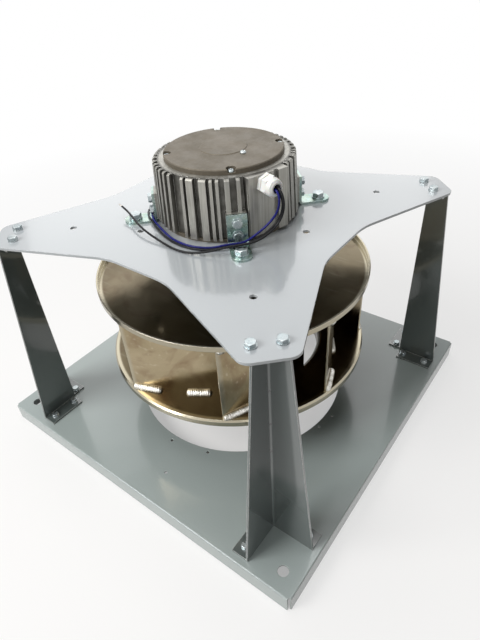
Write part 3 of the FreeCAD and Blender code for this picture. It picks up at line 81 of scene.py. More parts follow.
WIRE_RADIUS = 0.0013
STRIP_LENGTH = 0.007
WIRES = {
    "wire_blue": ("blue_insulation", 0.312, [
        (0.0913, -0.0361, 0.372), (0.09815, -0.03835, 0.372), (0.103, -0.0399, 0.3669),
        (0.1031, -0.0396, 0.358), (0.0997, -0.038, 0.3475), (0.0943, -0.0398, 0.3378),
        (0.088, -0.046, 0.329), (0.081, -0.055, 0.3215), (0.0745, -0.063, 0.3158),
        (0.067, -0.0678, 0.3137), (0.0575, -0.077, 0.3137), (0.046, -0.0865, 0.311),
        (0.031, -0.094, 0.3105), (0.014, -0.097, 0.3105), (-0.004, -0.0955, 0.3105),
        (-0.021, -0.09, 0.3105), (-0.038, -0.0825, 0.3108), (-0.0555, -0.076, 0.3135),
        (-0.0669, -0.0672, 0.3137), (-0.077, -0.0565, 0.3137), (-0.0845, -0.0435, 0.311),
        (-0.0895, -0.028, 0.3105), (-0.092, -0.012, 0.3105), (-0.0917, -0.003, 0.3105)]),
    "wire_black_short": ("black_insulation", 0.309, [
        (0.0922, -0.0333, 0.3705), (0.0991, -0.03555, 0.3705), (0.104, -0.0371, 0.3654),
        (0.1048, -0.0356, 0.3565), (0.103, -0.0348, 0.346), (0.0993, -0.037, 0.3358),
        (0.0935, -0.0445, 0.3268), (0.0865, -0.0545, 0.3194), (0.079, -0.0645, 0.315),
        (0.0704, -0.0713, 0.3137), (0.061, -0.08, 0.3137), (0.049, -0.09, 0.311),
        (0.0335, -0.0978, 0.3105), (0.0155, -0.1012, 0.3105), (-0.0035, -0.0997, 0.3105),
        (-0.022, -0.0942, 0.3105), (-0.04, -0.0863, 0.3108), (-0.0565, -0.078, 0.3134),
        (-0.0706, -0.0704, 0.3137), (-0.081, -0.0593, 0.3137), (-0.0885, -0.0455, 0.311),
        (-0.0937, -0.0295, 0.3105), (-0.0951, -0.0204, 0.3105)]),
    "wire_black_long": ("black_insulation", 0.295, [
        (0.0921, -0.0336, 0.3735), (0.1004, -0.0363, 0.3735), (0.1064, -0.0383, 0.3674),
        (0.1078, -0.0378, 0.3575), (0.1063, -0.0378, 0.3465), (0.1028, -0.041, 0.336),
        (0.0985, -0.0495, 0.3285), (0.094, -0.06, 0.324), (0.0875, -0.07, 0.3213),
        (0.079, -0.0787, 0.3208), (0.0675, -0.0885, 0.3194), (0.0535, -0.098, 0.315),
        (0.0385, -0.106, 0.312), (0.0225, -0.1105, 0.3106), (0.006, -0.1105, 0.3106),
        (-0.01, -0.1085, 0.3118), (-0.0265, -0.1065, 0.3139), (-0.043, -0.1035, 0.3161),
        (-0.059, -0.0985, 0.3181), (-0.073, -0.0925, 0.3201), (-0.086, -0.0866, 0.3206),
        (-0.0985, -0.0825, 0.3218), (-0.1032, -0.0815, 0.3225)]),
}
STRAND_RADIUS = 0.00032
STRAND_CIRCLE = 0.00062
STRAND_COUNT = 6
STRAND_TWIST = math.radians(70)
# stations along the stripped length, as shares of it; the first lies inside the insulation
CORE_STATIONS = (-0.2, 0, 0.5, 1)
STRAND_STATIONS = (-0.2, 0, 0.2, 0.4, 0.6, 0.8, 0.95)
SPLINE_STEPS = 10
WIRE_ROUNDNESS = 5
STRAND_ROUNDNESS = 2


def smooth_spline(data, points, radius=WIRE_RADIUS):
    """Adds one open NURBS spline of the given thickness through its control points."""
    spline = data.splines.new("NURBS")
    spline.points.add(len(points) - 1)
    for knot, place in zip(spline.points, points):
        knot.co = (*place, 1)
        knot.radius = radius
    spline.order_u = 3
    spline.use_endpoint_u = True
    spline.resolution_u = SPLINE_STEPS


def new_piece(name, data, body, material=None):
    """Adds a piece of the object that rides on a CAD body."""
    piece = bpy.data.objects.new(name, data)
    bpy.context.scene.collection.objects.link(piece)
    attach(piece, body)
    if material:
        data.materials.append(material)
    return piece


def centreline(name, points):
    """Places along the smooth line that a route's control points draw."""
    data = bpy.data.curves.new(name, "CURVE")
    data.dimensions = "3D"
    smooth_spline(data, points)
    holder = bpy.data.objects.new(name, data)
    line = bpy.data.meshes.new_from_object(holder)
    places = [vertex.co.copy() for vertex in line.vertices]
    bpy.data.objects.remove(holder)
    bpy.data.curves.remove(data)
    bpy.data.meshes.remove(line)
    return places


def stripped_end(name, points, material):
    """Bare twisted strands that stick out of a wire's cut insulation."""
    line = centreline(name + "_line", points)
    end = line[-1]
    along = (line[-1] - line[-2]).normalized()
    side = along.cross(Vector((0, 0, 1))).normalized()
    data = bpy.data.curves.new(name, "CURVE")
    data.dimensions = "3D"
    data.bevel_depth = 1  # the points carry the radius
    data.bevel_resolution = STRAND_ROUNDNESS
    data.use_fill_caps = True
    core = [end + along * STRIP_LENGTH * share for share in CORE_STATIONS]
    smooth_spline(data, core, STRAND_RADIUS)
    for strand in range(STRAND_COUNT):
        start = 2 * math.pi * strand / STRAND_COUNT
        route = []
        for share in STRAND_STATIONS:
            turn = Matrix.Rotation(start + STRAND_TWIST * share, 3, along)
            route.append(end + along * STRIP_LENGTH * share + turn @ side * STRAND_CIRCLE)
        smooth_spline(data, route, STRAND_RADIUS)
    return new_piece(name, data, FRAME_BODY, material)


def motor_wire(name, insulation, strands):
    """One insulated wire out of the gland, with its stripped end."""
    slot, length, points = WIRES[name]
    data = bpy.data.curves.new(name + "_cord", "CURVE")
    data.dimensions = "3D"
    smooth_spline(data, points)
    data.bevel_depth = 1
    data.bevel_resolution = WIRE_ROUNDNESS
    data.use_fill_caps = True
    cord = new_piece(name + "_cord", data, FRAME_BODY, insulation)
    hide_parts(name)
    tip = stripped_end(name + "_strands", points, strands)


# Finishes

# share of clear gloss on the paint, and the index of refraction that says how much it mirrors
LEG_COAT = 1.0
PAN_COAT = 0.6
PLATE_COAT = 1.0
PAINT_GLOSS = 1.5
LEG_GLOSS = 1.7
# small nicks across the front leg's bend: its line, their heights, half their height with and
# without the blur, and how far they reach from the line
FRONT_BEND = (0.188, -0.188)
BEND_NICKS = (0.1685, 0.2105, 0.256)
NICK_HALF_HEIGHT = (0.0011, 0.00176)
NICK_REACH = (0.0015, 0.0020)
# tone of the impeller's sheets against the plain bronze; the disc and shroud carry painted shade,
# darker copies of the blades' bronze
DISC_PAINTED_SHADE = 0.36
SHROUD_PAINTED_SHADE = 0.3
BLADE_SHADE = 0.98
# distances from the motor axis over which the rims get a painted highlight and the grooves between
# fins a painted shade
RIM_HIGHLIGHT_FROM_TO = (0.1735, 0.176)
GROOVE_INNER = (0.0755, 0.0772)
GROOVE_OUTER = (0.0800, 0.0842)
# first and last noise value that a patch of colour or gloss goes with
MIDDLE_NOISE = (0.3, 0.7)
ALL_NOISE = (0.1, 0.9)


class Finish:
    """A procedural finish on Object coordinates around one Principled shader."""

    def __init__(self, name, colour, roughness, metallic=0.0, **sockets):
        self.material = bpy.data.materials.new(name)
        self.material.use_nodes = True
        self.tree = self.material.node_tree
        self.shader = next(n for n in self.tree.nodes if n.type == "BSDF_PRINCIPLED")
        self.place = self.add("ShaderNodeTexCoord").outputs["Object"]
        self.feed(self.shader, "Base Color", self.colour(colour))
        self.feed(self.shader, "Roughness", roughness)
        self.feed(self.shader, "Metallic", metallic)
        for label, value in sockets.items():
            self.feed(self.shader, label.replace("_", " "), value)
        self.normal = None

    def add(self, kind, **settings):
        node = self.tree.nodes.new(kind)
        for label, value in settings.items():
            setattr(node, label, value)
        return node

    @staticmethod
    def colour(value):
        return (*value, 1) if isinstance(value, tuple) and len(value) == 3 else value

    def feed(self, node, label, source):
        """Links a socket to another node's output, or sets its value."""
        socket = node.inputs[label]
        if isinstance(source, bpy.types.NodeSocket):
            self.tree.links.new(source, socket)
        else:
            socket.default_value = source

    def grain(self, scale, detail=3.0, stretch=(1, 1, 1), warp=0.0):
        """Noise whose features are 1 / scale metres across, drawn out along an axis by stretch."""
        mapping = self.add("ShaderNodeMapping")
        self.feed(mapping, "Vector", self.place)
        self.feed(mapping, "Scale", stretch)
        texture = self.add("ShaderNodeTexNoise")
        self.feed(texture, "Vector", mapping.outputs["Vector"])
        self.feed(texture, "Scale", scale)
        self.feed(texture, "Detail", detail)
        self.feed(texture, "Distortion", warp)
        return texture.outputs["Fac"]

    def spread(self, source, low, high, start=MIDDLE_NOISE[0], end=MIDDLE_NOISE[1]):
        """Values from low to high as the source goes from start to end."""
        node = self.add("ShaderNodeMapRange")
        for label, value in zip(("Value", "From Min", "From Max", "To Min", "To Max"),
                                (source, start, end, low, high)):
            self.feed(node, label, value)
        return node.outputs["Result"]

    def reckon(self, operation, *sources):
        """The result of one step of arithmetic."""
        node = self.add("ShaderNodeMath", operation=operation)
        for number, source in enumerate(sources):
            self.feed(node, number, source)
        return node.outputs["Value"]

    def times(self, first, second):
        return self.reckon("MULTIPLY", first, second)

    def mix(self, share, first, second):
        """A colour between two others; 0, 6 and 7 are the node's share and its two colours."""
        node = self.add("ShaderNodeMix", data_type="RGBA")
        self.feed(node, 0, share)
        self.feed(node, 6, self.colour(first))
        self.feed(node, 7, self.colour(second))
        return node.outputs[2]

    def broken_edges(self, radius):
        """Lets sharp edges catch the light, and returns how near an edge a point is."""
        soft = self.add("ShaderNodeBevel", samples=4)
        self.feed(soft, "Radius", radius)
        self.normal = soft.outputs["Normal"]
        plain = self.add("ShaderNodeNewGeometry")
        dot = self.add("ShaderNodeVectorMath", operation="DOT_PRODUCT")
        self.feed(dot, 0, soft.outputs["Normal"])
        self.feed(dot, 1, plain.outputs["Normal"])
        return self.spread(dot.outputs["Value"], 1.0, 0.0, 0.86, 0.99)

    def axis_distance(self, centre=(0, 0)):
        """How far a point lies from an upright line, which is the motor axis unless moved."""
        level = self.add("ShaderNodeMapping")
        self.feed(level, "Vector", self.place)
        self.feed(level, "Location", (-centre[0], -centre[1], 0))
        self.feed(level, "Scale", (1, 1, 0))
        reach = self.add("ShaderNodeVectorMath", operation="LENGTH")
        self.feed(reach, 0, level.outputs["Vector"])
        return reach.outputs["Value"]

    def relief(self, height, depth):
        """Bump of the given depth in metres, on top of what the finish has so far."""
        node = self.add("ShaderNodeBump")
        self.feed(node, "Height", height)
        self.feed(node, "Distance", depth)
        if self.normal:
            self.feed(node, "Normal", self.normal)
        self.normal = node.outputs["Normal"]

    def done(self, colour=None, roughness=None):
        if colour is not None:
            self.feed(self.shader, "Base Color", colour)
        if roughness is not None:
            self.feed(self.shader, "Roughness", roughness)
        if self.normal:
            self.feed(self.shader, "Normal", self.normal)
        return self.material


def nicked_bend(finish, colour):
    """Darkens a few small nicks across the bend of the front leg."""
    on_bend = finish.spread(finish.axis_distance(FRONT_BEND), 1, 0, *NICK_REACH)
    sides = finish.add("ShaderNodeSeparateXYZ")
    finish.feed(sides, "Vector", finish.place)
    for level in BEND_NICKS:
        above = finish.reckon("SUBTRACT", sides.outputs["Z"], level)
        nick = finish.spread(finish.reckon("ABSOLUTE", above), 1, 0, *NICK_HALF_HEIGHT)
        colour = finish.mix(finish.times(nick, on_bend), colour, (0.012, 0.012, 0.012))
    return colour


def sheet_paint(name, dark, light, bare, coat, gloss=PAINT_GLOSS, nicked=False):
    """Stoved gloss paint: faint clouds, orange peel, paint drawn thin over the edges."""
    finish = Finish(name, light, 0.22, Coat_Weight=coat, Coat_Roughness=0.08,
                    Coat_IOR=gloss)
    edge = finish.broken_edges(0.0011)
    colour = finish.mix(finish.spread(finish.grain(5, 1), 0, 1, *ALL_NOISE), dark, light)
    specks = finish.spread(finish.grain(900, 1), 0, 0.3, 0.68, 0.75)
    colour = finish.mix(specks, colour, tuple(part * 0.7 for part in dark))
    wear = finish.times(edge, finish.spread(finish.grain(70), 0.5, 1))
    colour = finish.mix(wear, colour, bare)
    if nicked:
        colour = nicked_bend(finish, colour)
    finish.relief(finish.grain(600, 1), 0.000015)
    return finish.done(colour, finish.spread(finish.grain(14, 1), 0.18, 0.28, *ALL_NOISE))


def grey_paint():
    """The legs' coat: the same paint written darkest, as painted shade, and so shiny that it mirrors
    the floor.
    """
    return sheet_paint("grey_paint", (0.080, 0.097, 0.093), (0.095, 0.113, 0.108),
                       (0.88, 0.90, 0.86), LEG_COAT, LEG_GLOSS, nicked=True)


def pan_paint():
    """The inlet plate's coat: the same paint written lighter than the legs' and a little darker than
    the star plate's, a tone of painted light and shade.
    """
    return sheet_paint("pan_paint", (0.350, 0.402, 0.388), (0.395, 0.447, 0.433),
                       (0.70, 0.73, 0.71), PAN_COAT)


def lit_plate_paint():
    """The star plate's top coat: the same paint as on the folded sheets, written paler as painted
    light.
    """
    return sheet_paint("lit_plate_paint", (0.400, 0.425, 0.440), (0.435, 0.460, 0.475),
                       (0.58, 0.60, 0.59), PLATE_COAT)


def zinc(name, first, second, tint):
    """Zinc plating with passivation tints, duller where it was handled."""
    finish = Finish(name, first, 0.3, 1.0)
    edge = finish.broken_edges(0.0004)
    patches = finish.spread(finish.grain(60), 0, 1, 0.35, 0.65)
    colour = finish.mix(patches, first, second)
    colour = finish.mix(finish.spread(finish.grain(130, 2, warp=1.0), 0, 0.5), colour, tint)
    colour = finish.mix(finish.times(edge, 0.6), colour, (0.80, 0.82, 0.82))
    finish.relief(finish.grain(800, 2), 0.00003)
    return finish.done(colour, finish.spread(finish.grain(220), 0.2, 0.42))


def bright_zinc():
    return zinc("bright_zinc", (0.32, 0.35, 0.36), (0.52, 0.55, 0.55), (0.28, 0.35, 0.37))


def strap_zinc():
    return zinc("strap_zinc", (0.22, 0.33, 0.33), (0.42, 0.52, 0.51), (0.38, 0.43, 0.30))


def fin_casting():
    """Grey aluminium casting with fine upright die lines on the fins, and painted shade in the
    grooves between them.
    """
    finish = Finish("fin_casting", (0.46, 0.45, 0.42), 0.45, 0.85)
    edge = finish.broken_edges(0.0006)
    lines = finish.grain(500, 2, (1, 1, 0.03))
    colour = finish.mix(finish.spread(lines, 0, 1), (0.23, 0.226, 0.206), (0.40, 0.392, 0.362))
    patches = finish.spread(finish.grain(45), 0, 0.5)
    colour = finish.mix(patches, colour, (0.36, 0.345, 0.30))
    distance = finish.axis_distance()
    # painted shade: the grooves between the fins are darkened to near black, broken up by noise
    groove_shade = finish.times(finish.spread(distance, 0, 1, *GROOVE_INNER),
                         finish.spread(distance, 1, 0, *GROOVE_OUTER))
    groove_shade = finish.times(groove_shade, finish.spread(finish.grain(90, 3), 0.6, 0.95))
    colour = finish.mix(groove_shade, colour, (0.052, 0.049, 0.042))
    colour = finish.mix(finish.times(edge, 0.7), colour, (0.64, 0.63, 0.59))
    finish.relief(lines, 0.00006)
    finish.relief(finish.grain(900, 2), 0.00005)
    return finish.done(colour, finish.spread(finish.grain(120), 0.38, 0.55))


def cover_casting():
    """Warm grey-brown cast cover: matte, blotched and finely pitted."""
    finish = Finish("cover_casting", (0.22, 0.195, 0.165), 0.55, 0.35)
    edge = finish.broken_edges(0.0006)
    blotches = finish.spread(finish.grain(28, 4, warp=0.6), 0, 1, 0.35, 0.65)
    colour = finish.mix(blotches, (0.104, 0.088, 0.063), (0.138, 0.117, 0.087))
    dust = finish.spread(finish.grain(260, 3), 0, 0.4, 0.5, 0.75)
    colour = finish.mix(dust, colour, (0.19, 0.165, 0.128))
    colour = finish.mix(finish.times(edge, 0.55), colour, (0.32, 0.29, 0.235))
    finish.relief(finish.grain(700, 3), 0.00008)
    return finish.done(colour, finish.spread(finish.grain(50), 0.48, 0.66))


def wheel_sheet(name, shade):
    """Olive-bronze rolled sheet with brown stains, fine scratches and rough bright edges; shade
    scales its tones down, which paints shade on the disc and shroud.
    """
    def shaded_tone(red, green, blue):
        return (red * shade, green * shade, blue * shade)

    finish = Finish(name, shaded_tone(0.30, 0.25, 0.15), 0.3, 1.0)
    edge = finish.broken_edges(0.0008)
    clouds = finish.spread(finish.grain(9, 3, warp=0.8), 0, 1, 0.35, 0.65)
    colour = finish.mix(clouds, shaded_tone(0.34, 0.275, 0.165), shaded_tone(0.45, 0.37, 0.24))
    stains = finish.spread(finish.grain(22, 4, warp=1.5), 0, 0.65, 0.52, 0.70)
    colour = finish.mix(stains, colour, shaded_tone(0.26, 0.175, 0.105))
    scratches = finish.grain(300, 2, (0.06, 1, 0.5))
    crossing = finish.grain(340, 2, (1, 0.07, 0.4))
    scored = finish.spread(scratches, 0, 0.4, 0.62, 0.72)
    colour = finish.mix(scored, colour, shaded_tone(0.60, 0.53, 0.40))
    # painted highlight: the rims of the disc and shroud are painted in bright bronze that the painted
    # shade does not darken
    rim_highlight = finish.spread(finish.axis_distance(), 0, 0.85, *RIM_HIGHLIGHT_FROM_TO)
    colour = finish.mix(rim_highlight, colour, (0.46, 0.42, 0.32))
    colour = finish.mix(finish.times(edge, 0.8), colour, (0.74, 0.70, 0.60))
    finish.relief(scratches, 0.00002)
    finish.relief(crossing, 0.00002)
    return finish.done(colour, finish.spread(finish.grain(30), 0.12, 0.26))


def weld_metal():
    """Bright weld metal, rough between its ripples."""
    finish = Finish("weld_metal", (0.74, 0.73, 0.69), 0.3, 1.0)
    heat = finish.spread(finish.grain(140), 0, 1)
    colour = finish.mix(heat, (0.40, 0.38, 0.33), (0.86, 0.85, 0.81))
    finish.relief(finish.grain(900, 3), 0.00018)
    return finish.done(colour, finish.spread(finish.grain(400), 0.22, 0.42))


def turned_steel(name, first, second, roughness):
    """Machined steel with the lathe's fine marks round the motor axis."""
    finish = Finish(name, first, roughness, 1.0)
    edge = finish.broken_edges(0.0004)
    marks = finish.grain(1400, 2, (0.15, 0.15, 1))
    colour = finish.mix(finish.spread(marks, 0, 1), first, second)
    colour = finish.mix(finish.times(edge, 0.5), colour, (0.8, 0.8, 0.8))
    finish.relief(marks, 0.00002)
    low, high = roughness * 0.75, roughness * 1.3
    return finish.done(colour, finish.spread(finish.grain(90), low, high))


def lamination_steel():
    """Stacked electrical steel, one thin dark line for each sheet."""
    finish = Finish("lamination_steel", (0.17, 0.17, 0.18), 0.45, 0.9)
    sheets = finish.grain(1900, 1, (0.01, 0.01, 1))
    colour = finish.mix(finish.spread(sheets, 0, 1), (0.11, 0.11, 0.12), (0.25, 0.25, 0.26))
    finish.relief(sheets, 0.0001)
    return finish.done(colour, finish.spread(finish.grain(160), 0.38, 0.55))


def enamelled_copper():
    """Varnished copper winding with the lay of its wires."""
    finish = Finish("enamelled_copper", (0.55, 0.22, 0.08), 0.3, 0.8, Coat_Weight=0.5,
                    Coat_Roughness=0.15)
    turns = finish.grain(1100, 2, (0.2, 0.2, 1), 0.5)
    colour = finish.mix(finish.spread(turns, 0, 1), (0.36, 0.13, 0.045), (0.68, 0.30, 0.12))
    finish.relief(turns, 0.00025)
    return finish.done(colour, finish.spread(finish.grain(120), 0.22, 0.4))


def seal_rubber():
    """Matte black rubber with a fine mould grain."""
    finish = Finish("seal_rubber", (0.018, 0.018, 0.019), 0.6)
    bloom = finish.spread(finish.grain(120), 0, 1)
    colour = finish.mix(bloom, (0.014, 0.014, 0.015), (0.032, 0.032, 0.033))
    finish.relief(finish.grain(1000, 2), 0.00005)
    return finish.done(colour, finish.spread(finish.grain(80), 0.5, 0.7))


def white_plastic():
    """Moulded white polyamide of the cable gland, slightly yellowed and scuffed."""
    finish = Finish("white_plastic", (0.80, 0.80, 0.76), 0.35, Subsurface_Weight=0.1,
                    Subsurface_Scale=0.002)
    finish.broken_edges(0.0006)
    age = finish.spread(finish.grain(50), 0, 1)
    colour = finish.mix(age, (0.78, 0.77, 0.72), (0.84, 0.84, 0.81))
    finish.relief(finish.grain(700, 2), 0.00004)
    return finish.done(colour, finish.spread(finish.grain(140), 0.28, 0.45))


def insulation(name, first, second):
    """Soft glossy wire insulation, faintly uneven from extrusion."""
    finish = Finish(name, first, 0.25, Specular_IOR_Level=0.16)
    colour = finish.mix(finish.spread(finish.grain(60), 0, 1), first, second)
    finish.relief(finish.grain(500, 1), 0.00004)
    return finish.done(colour, finish.spread(finish.grain(150), 0.2, 0.36))


def tinned_strands():
    """Dull tinned copper strands."""
    finish = Finish("tinned_strands", (0.5, 0.47, 0.43), 0.35, 1.0)
    colour = finish.mix(finish.spread(finish.grain(600), 0, 1), (0.42, 0.38, 0.33),
                        (0.66, 0.64, 0.60))
    return finish.done(colour, finish.spread(finish.grain(900), 0.25, 0.45))


finishes = {
    "grey_paint": grey_paint(),
    "zinc": bright_zinc(),
    "strap_zinc": strap_zinc(),
    "housing_cast": fin_casting(),
    "cover_cast": cover_casting(),
    "impeller_sheet": wheel_sheet("wheel_sheet", BLADE_SHADE),
    "weld": weld_metal(),
    "steel": turned_steel("turned_steel", (0.46, 0.46, 0.45), (0.58, 0.58, 0.57), 0.32),
    "hub_steel": turned_steel("hub_steel", (0.38, 0.38, 0.37), (0.52, 0.52, 0.50), 0.38),
    "lamination": lamination_steel(),
    "copper": enamelled_copper(),
    "bearing_steel": turned_steel("bearing_steel", (0.62, 0.63, 0.64), (0.74, 0.75, 0.76), 0.16),
    "seal_rubber": seal_rubber(),
    "white_plastic": white_plastic(),
    "blue_insulation": insulation("blue_insulation", (0.010, 0.012, 0.13), (0.018, 0.020, 0.19)),
    "black_insulation": insulation("black_insulation", (0.008, 0.008, 0.009),
                                   (0.016, 0.016, 0.017)),
}


def dress_cad_nodes():
    """Gives every CAD node the finish of its material slot."""
    for part in frame["record"]["subparts"]:
        mesh = cad_nodes[part["node"]].data
        mesh.materials.clear()
        mesh.materials.append(finishes[part["material_slot"]])
    # painted light and shade: the star plate and the inlet plate get lighter copies of the legs'
    # paint
    cad_nodes["star_plate"].data.materials[0] = lit_plate_paint()
    cad_nodes["base_plate"].data.materials[0] = pan_paint()
    # the disc and shroud get darker copies of the blades' bronze as painted shade
    cad_nodes["impeller_backplate"].data.materials[0] = wheel_sheet("disc_sheet_shaded", DISC_PAINTED_SHADE)
    cad_nodes["impeller_shroud"].data.materials[0] = wheel_sheet("shroud_sheet_shaded", SHROUD_PAINTED_SHADE)


# Impeller welds

BLADE_COUNT = 8
BLADE_TURN = math.radians(31)
BLADE_TIP = Vector((0.176, 0, 0))
BLADE_SWEEP = math.radians(48)
BLADE_INNER = Vector((math.cos(BLADE_SWEEP), math.sin(BLADE_SWEEP), 0)) * 0.130
BLADE_CURVE = 0.300
BLADE_HALF_SHEET = 0.001
SHROUD_FACE = 0.1185
BACKPLATE_UNDERSIDE = 0.229
BEAD_RADIUS = 0.006
BEAD_END = 0.0045
RIPPLE_PITCH = 0.0029
RIPPLE_DEPTH = 0.00085
RIPPLE_BOW = 0.0013
RIPPLE_WANDER = 0.0009
RIPPLE_ROUNDNESS = 0.6
ROUGH_SHARE = 0.25
SWELL_SHARE = 0.12
# noise features to a metre: where ripples wander, where the bead is rough, where it swells
WANDER_GRAIN = 160
ROUGH_GRAIN = 900
SWELL_GRAIN = 60
# how far apart two beads read the noise
WANDER_SEED = 7.3
SWELL_SEED = 3.1
BEAD_FACETS = 8
BEAD_STEP = 0.00055
BEAD_END_FLAT = 0.02
TOUCHING = 1e-6
# height of the corner line, side of it on which the bead lies, start and length along the blade
BEADS = [(SHROUD_FACE, 1, 0.0, 0.041), (SHROUD_FACE, 1, 0.073, 0.034),
         (BACKPLATE_UNDERSIDE, -1, 0.0, 0.012)]


def blade_circle():
    """Centre of the arc that the blades' mean line follows, for the blade that ends on X."""
    chord = BLADE_INNER - BLADE_TIP
    rise = math.sqrt(BLADE_CURVE ** 2 - chord.length_squared / 4)
    across = Vector((-chord.y, chord.x, 0)).normalized()
    return (BLADE_INNER + BLADE_TIP) / 2 + across * rise


def raw_bead(form, centre, level, side, along, length):
    """Spins a quarter-round section along the blade's outer face and closes its ends."""
    radius = BLADE_CURVE + BLADE_HALF_SHEET
    first = math.atan2(BLADE_TIP.y - centre.y, BLADE_TIP.x - centre.x) + along / radius
    outward = Vector((math.cos(first), math.sin(first), 0))
    root = centre + outward * radius + Vector((0, 0, level))
    section = [form.verts.new(root)]
    for step in range(BEAD_FACETS + 1):
        lean = math.pi / 2 * step / BEAD_FACETS
        section.append(form.verts.new(root + outward * math.cos(lean) * BEAD_RADIUS
                                      + Vector((0, 0, side * math.sin(lean) * BEAD_RADIUS))))
    edges = [form.edges.new((a, b)) for a, b in zip(section, section[1:] + section[:1])]
    steps = round(length / BEAD_STEP)
    swept = bmesh.ops.spin(form, geom=section + edges, cent=centre, axis=(0, 0, 1),
                           angle=length / radius, steps=steps, use_merge=False)
    last = [item for item in swept["geom_last"] if isinstance(item, bmesh.types.BMEdge)]
    bmesh.ops.contextual_create(form, geom=edges)
    bmesh.ops.contextual_create(form, geom=last)


def rippled(point, centre, level, along, length, seed):
    """A bead's surface point with its stacked ripples, its uneven flow and its rounded ends."""
    radius = BLADE_CURVE + BLADE_HALF_SHEET
    flat = Vector((point.x - centre.x, point.y - centre.y, 0))
    start = math.atan2(BLADE_TIP.y - centre.y, BLADE_TIP.x - centre.x)
    angle = math.atan2(flat.y, flat.x) - start
    angle = (angle + math.pi) % (2 * math.pi) - math.pi
    run = angle * radius - along
    out = flat.length - radius
    up = point.z - level
    reach = math.hypot(out, up)
    if reach < TOUCHING:
        return point
    side = 4 * abs(math.atan2(abs(up), out)) / math.pi - 1
    bow = RIPPLE_BOW * (1 - side ** 2)
    wander = noise.noise(Vector((run * WANDER_GRAIN, seed * WANDER_SEED, 0))) * RIPPLE_WANDER
    phase = (run - bow + wander) / RIPPLE_PITCH
    ridge = abs(math.sin(math.pi * phase)) ** RIPPLE_ROUNDNESS
    rough = noise.noise(point * ROUGH_GRAIN) * ROUGH_SHARE
    end = min(run, length - run)
    cap = math.sqrt(max(BEAD_END_FLAT, 1 - max(0.0, 1 - end / BEAD_END) ** 2))
    size = cap * (1 - RIPPLE_DEPTH / BEAD_RADIUS * (1 - ridge + rough))
    drift = noise.noise(Vector((run * SWELL_GRAIN, 0, seed * SWELL_SEED)))
    swell = 1 - SWELL_SHARE * (1 + drift) / 2
    scale = min(1.0, size * swell)
    direction = flat.normalized()
    return (Vector((centre.x, centre.y, level)) + direction * (radius + out * scale)
            + Vector((0, 0, up * scale)))


def weld_beads():
    """Hand-laid stitch beads at the feet of the blades, and tacks under the back disc."""
    centre = blade_circle()
    mesh = bpy.data.meshes.new("weld_beads")
    whole = bmesh.new()
    for blade in range(BLADE_COUNT):
        turn = Matrix.Rotation(BLADE_TURN + 2 * math.pi * blade / BLADE_COUNT, 4, "Z")
        for number, (level, side, along, length) in enumerate(BEADS):
            form = bmesh.new()
            raw_bead(form, centre, level, side, along, length)
            seed = blade * len(BEADS) + number + 1
            for vertex in form.verts:
                vertex.co = rippled(vertex.co, centre, level, along, length, seed)
            bmesh.ops.transform(form, matrix=turn, verts=form.verts)
            bmesh.ops.recalc_face_normals(form, faces=form.faces)
            part = bpy.data.meshes.new("bead")
            form.to_mesh(part)
            form.free()
            whole.from_mesh(part)
            bpy.data.meshes.remove(part)
    for face in whole.faces:
        face.smooth = True
    whole.to_mesh(mesh)
    whole.free()
    beads = new_piece("weld_beads", mesh, WHEEL_BODY, finishes["weld"])
    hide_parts("impeller_welds")


# Floor and light


FLOOR_REACH = 12
# how white the floor is to the eye by itself: near the fan, and as painted light inside the
# inlet hole and under the plate's corners
FLOOR_GLOW = 0.64
HOLE_PAINTED_LIGHT = 0.42
CORNER_PAINTED_LIGHT = 0.6
PLATE_EDGE = (0.246, 0.248)
SHADE_BLUR = 0.002
WHITE_FROM_TO = (0.42, 1.3)
# the shade that shows through the small holes, seen a little to the back of them
SHADE_CENTRE = (-0.0165, 0.0198)
SHADE_INNER = 0.1625
SHADE_OUTER = 0.19


def floor_glow(finish):
    """More white far away, none in a ring under the plate where its small holes look down, and
    painted light in the inlet hole and under the plate's corners.
    """
    reach = finish.axis_distance(SHADE_CENTRE)
    outside = finish.spread(reach, 0, 1, SHADE_OUTER, SHADE_OUTER + SHADE_BLUR)
    outside = finish.times(outside, finish.spread(reach, FLOOR_GLOW, 1, *WHITE_FROM_TO))
    sides = finish.add("ShaderNodeSeparateXYZ")
    finish.feed(sides, "Vector", finish.place)
    across = finish.reckon("ABSOLUTE", sides.outputs["X"])
    along = finish.reckon("ABSOLUTE", sides.outputs["Y"])
    square = finish.reckon("MAXIMUM", across, along)
    # painted light: the floor under the plate's corners still glows, though the plate shades it
    covered = finish.spread(square, CORNER_PAINTED_LIGHT, 1, *PLATE_EDGE)
    outside = finish.times(outside, covered)
    # painted light: the floor inside the inlet hole glows, though the wheel shades it
    inside = finish.spread(reach, HOLE_PAINTED_LIGHT, 0, SHADE_INNER, SHADE_INNER + SHADE_BLUR)
    return finish.reckon("ADD", outside, inside)


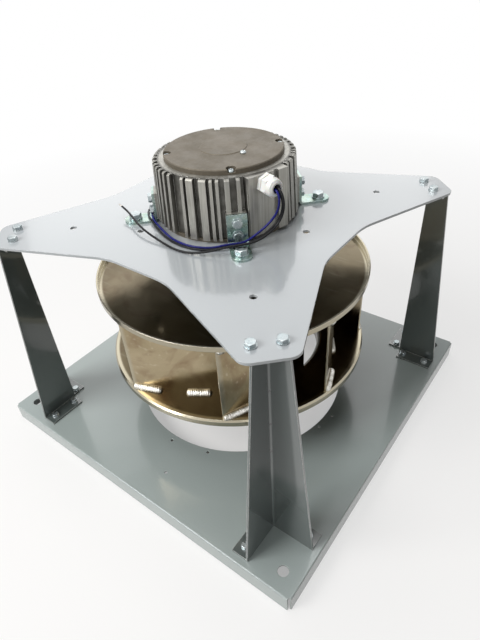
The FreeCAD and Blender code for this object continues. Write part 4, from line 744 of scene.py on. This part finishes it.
def pale_floor():
    """A plain white table top that keeps the object's shadow."""
    mesh = bpy.data.meshes.new("floor")
    form = bmesh.new()
    bmesh.ops.create_grid(form, x_segments=1, y_segments=1, size=FLOOR_REACH)
    form.to_mesh(mesh)
    form.free()
    floor = bpy.data.objects.new("floor", mesh)
    bpy.context.scene.collection.objects.link(floor)
    finish = Finish("table_white", (0.86, 0.855, 0.85), 0.6)
    path = finish.add("ShaderNodeLightPath")
    shade = finish.spread(finish.grain(2), 0, 1)
    seen = finish.mix(shade, (0.88, 0.86, 0.83), (0.90, 0.88, 0.85))
    finish.done(finish.mix(path.outputs["Is Camera Ray"], (0.58, 0.57, 0.55), seen))
    glow = finish.add("ShaderNodeEmission")
    blend = finish.add("ShaderNodeMixShader")
    seen_by = finish.reckon("MAXIMUM", path.outputs["Is Camera Ray"], path.outputs["Is Glossy Ray"])
    share = finish.times(seen_by, floor_glow(finish))
    finish.feed(blend, 0, share)
    finish.feed(blend, 1, finish.shader.outputs["BSDF"])
    finish.feed(blend, 2, glow.outputs["Emission"])
    output = next(n for n in finish.tree.nodes if n.type == "OUTPUT_MATERIAL")
    finish.feed(output, "Surface", blend.outputs["Shader"])
    mesh.materials.append(finish.material)


def soft_world(fill):
    """White surroundings for the eye and for gloss, and a weaker even fill for everything else."""
    world = bpy.data.worlds.new("studio")
    bpy.context.scene.world = world
    world.use_nodes = True
    tree = world.node_tree
    background = tree.nodes["Background"]
    background.inputs["Color"].default_value = (1, 1, 1, 1)
    path = tree.nodes.new("ShaderNodeLightPath")
    seen = path.outputs["Is Camera Ray"]
    for ray in ("Is Glossy Ray", "Is Transmission Ray"):
        either = tree.nodes.new("ShaderNodeMath")
        either.operation = "ADD"
        either.use_clamp = True
        tree.links.new(seen, either.inputs[0])
        tree.links.new(path.outputs[ray], either.inputs[1])
        seen = either.outputs["Value"]
    level = tree.nodes.new("ShaderNodeMapRange")
    level.inputs["To Min"].default_value = fill
    level.inputs["To Max"].default_value = 1
    tree.links.new(seen, level.inputs["Value"])
    tree.links.new(level.outputs["Result"], background.inputs["Strength"])


def soft_lamp(name, place, aim, width, height, power):
    """A flat softbox that faces a point of the fan."""
    lamp = bpy.data.lights.new(name, "AREA")
    lamp.shape = "RECTANGLE"
    lamp.size = width
    lamp.size_y = height
    lamp.energy = power
    holder = bpy.data.objects.new(name, lamp)
    holder.location = place
    holder.rotation_euler = (Vector(aim) - Vector(place)).to_track_quat("-Z", "Y").to_euler()
    bpy.context.scene.collection.objects.link(holder)


WORLD_FILL = 0.045
# name, place, aim, width, height and power in watts
SOFTBOXES = [
    ("left_softbox", (-1.0, -1.8, 1.8), (0, 0, 0.2), 1.3, 1.3, 50),
    ("back_softbox", (-1.5, 1.8, 1.6), (0, 0, 0.31), 2.6, 2.0, 15),
    ("front_softbox", (0.35, -1.9, 0.75), (0, 0, 0.1), 0.9, 0.5, 5.5),
    ("top_softbox", (-0.1, 0.0, 1.35), (0, 0, 0.2), 0.9, 0.9, 7),
]


def light_studio():
    """Even white surroundings and four softboxes, the strongest at the left."""
    soft_world(WORLD_FILL)
    for softbox in SOFTBOXES:
        soft_lamp(*softbox)


place_camera()
strands = tinned_strands()
for wire in WIRES:
    motor_wire(wire, finishes[WIRES[wire][0]], strands)
dress_cad_nodes()
weld_beads()
pale_floor()
light_studio()
bpy.context.scene.view_settings.view_transform = "Standard"
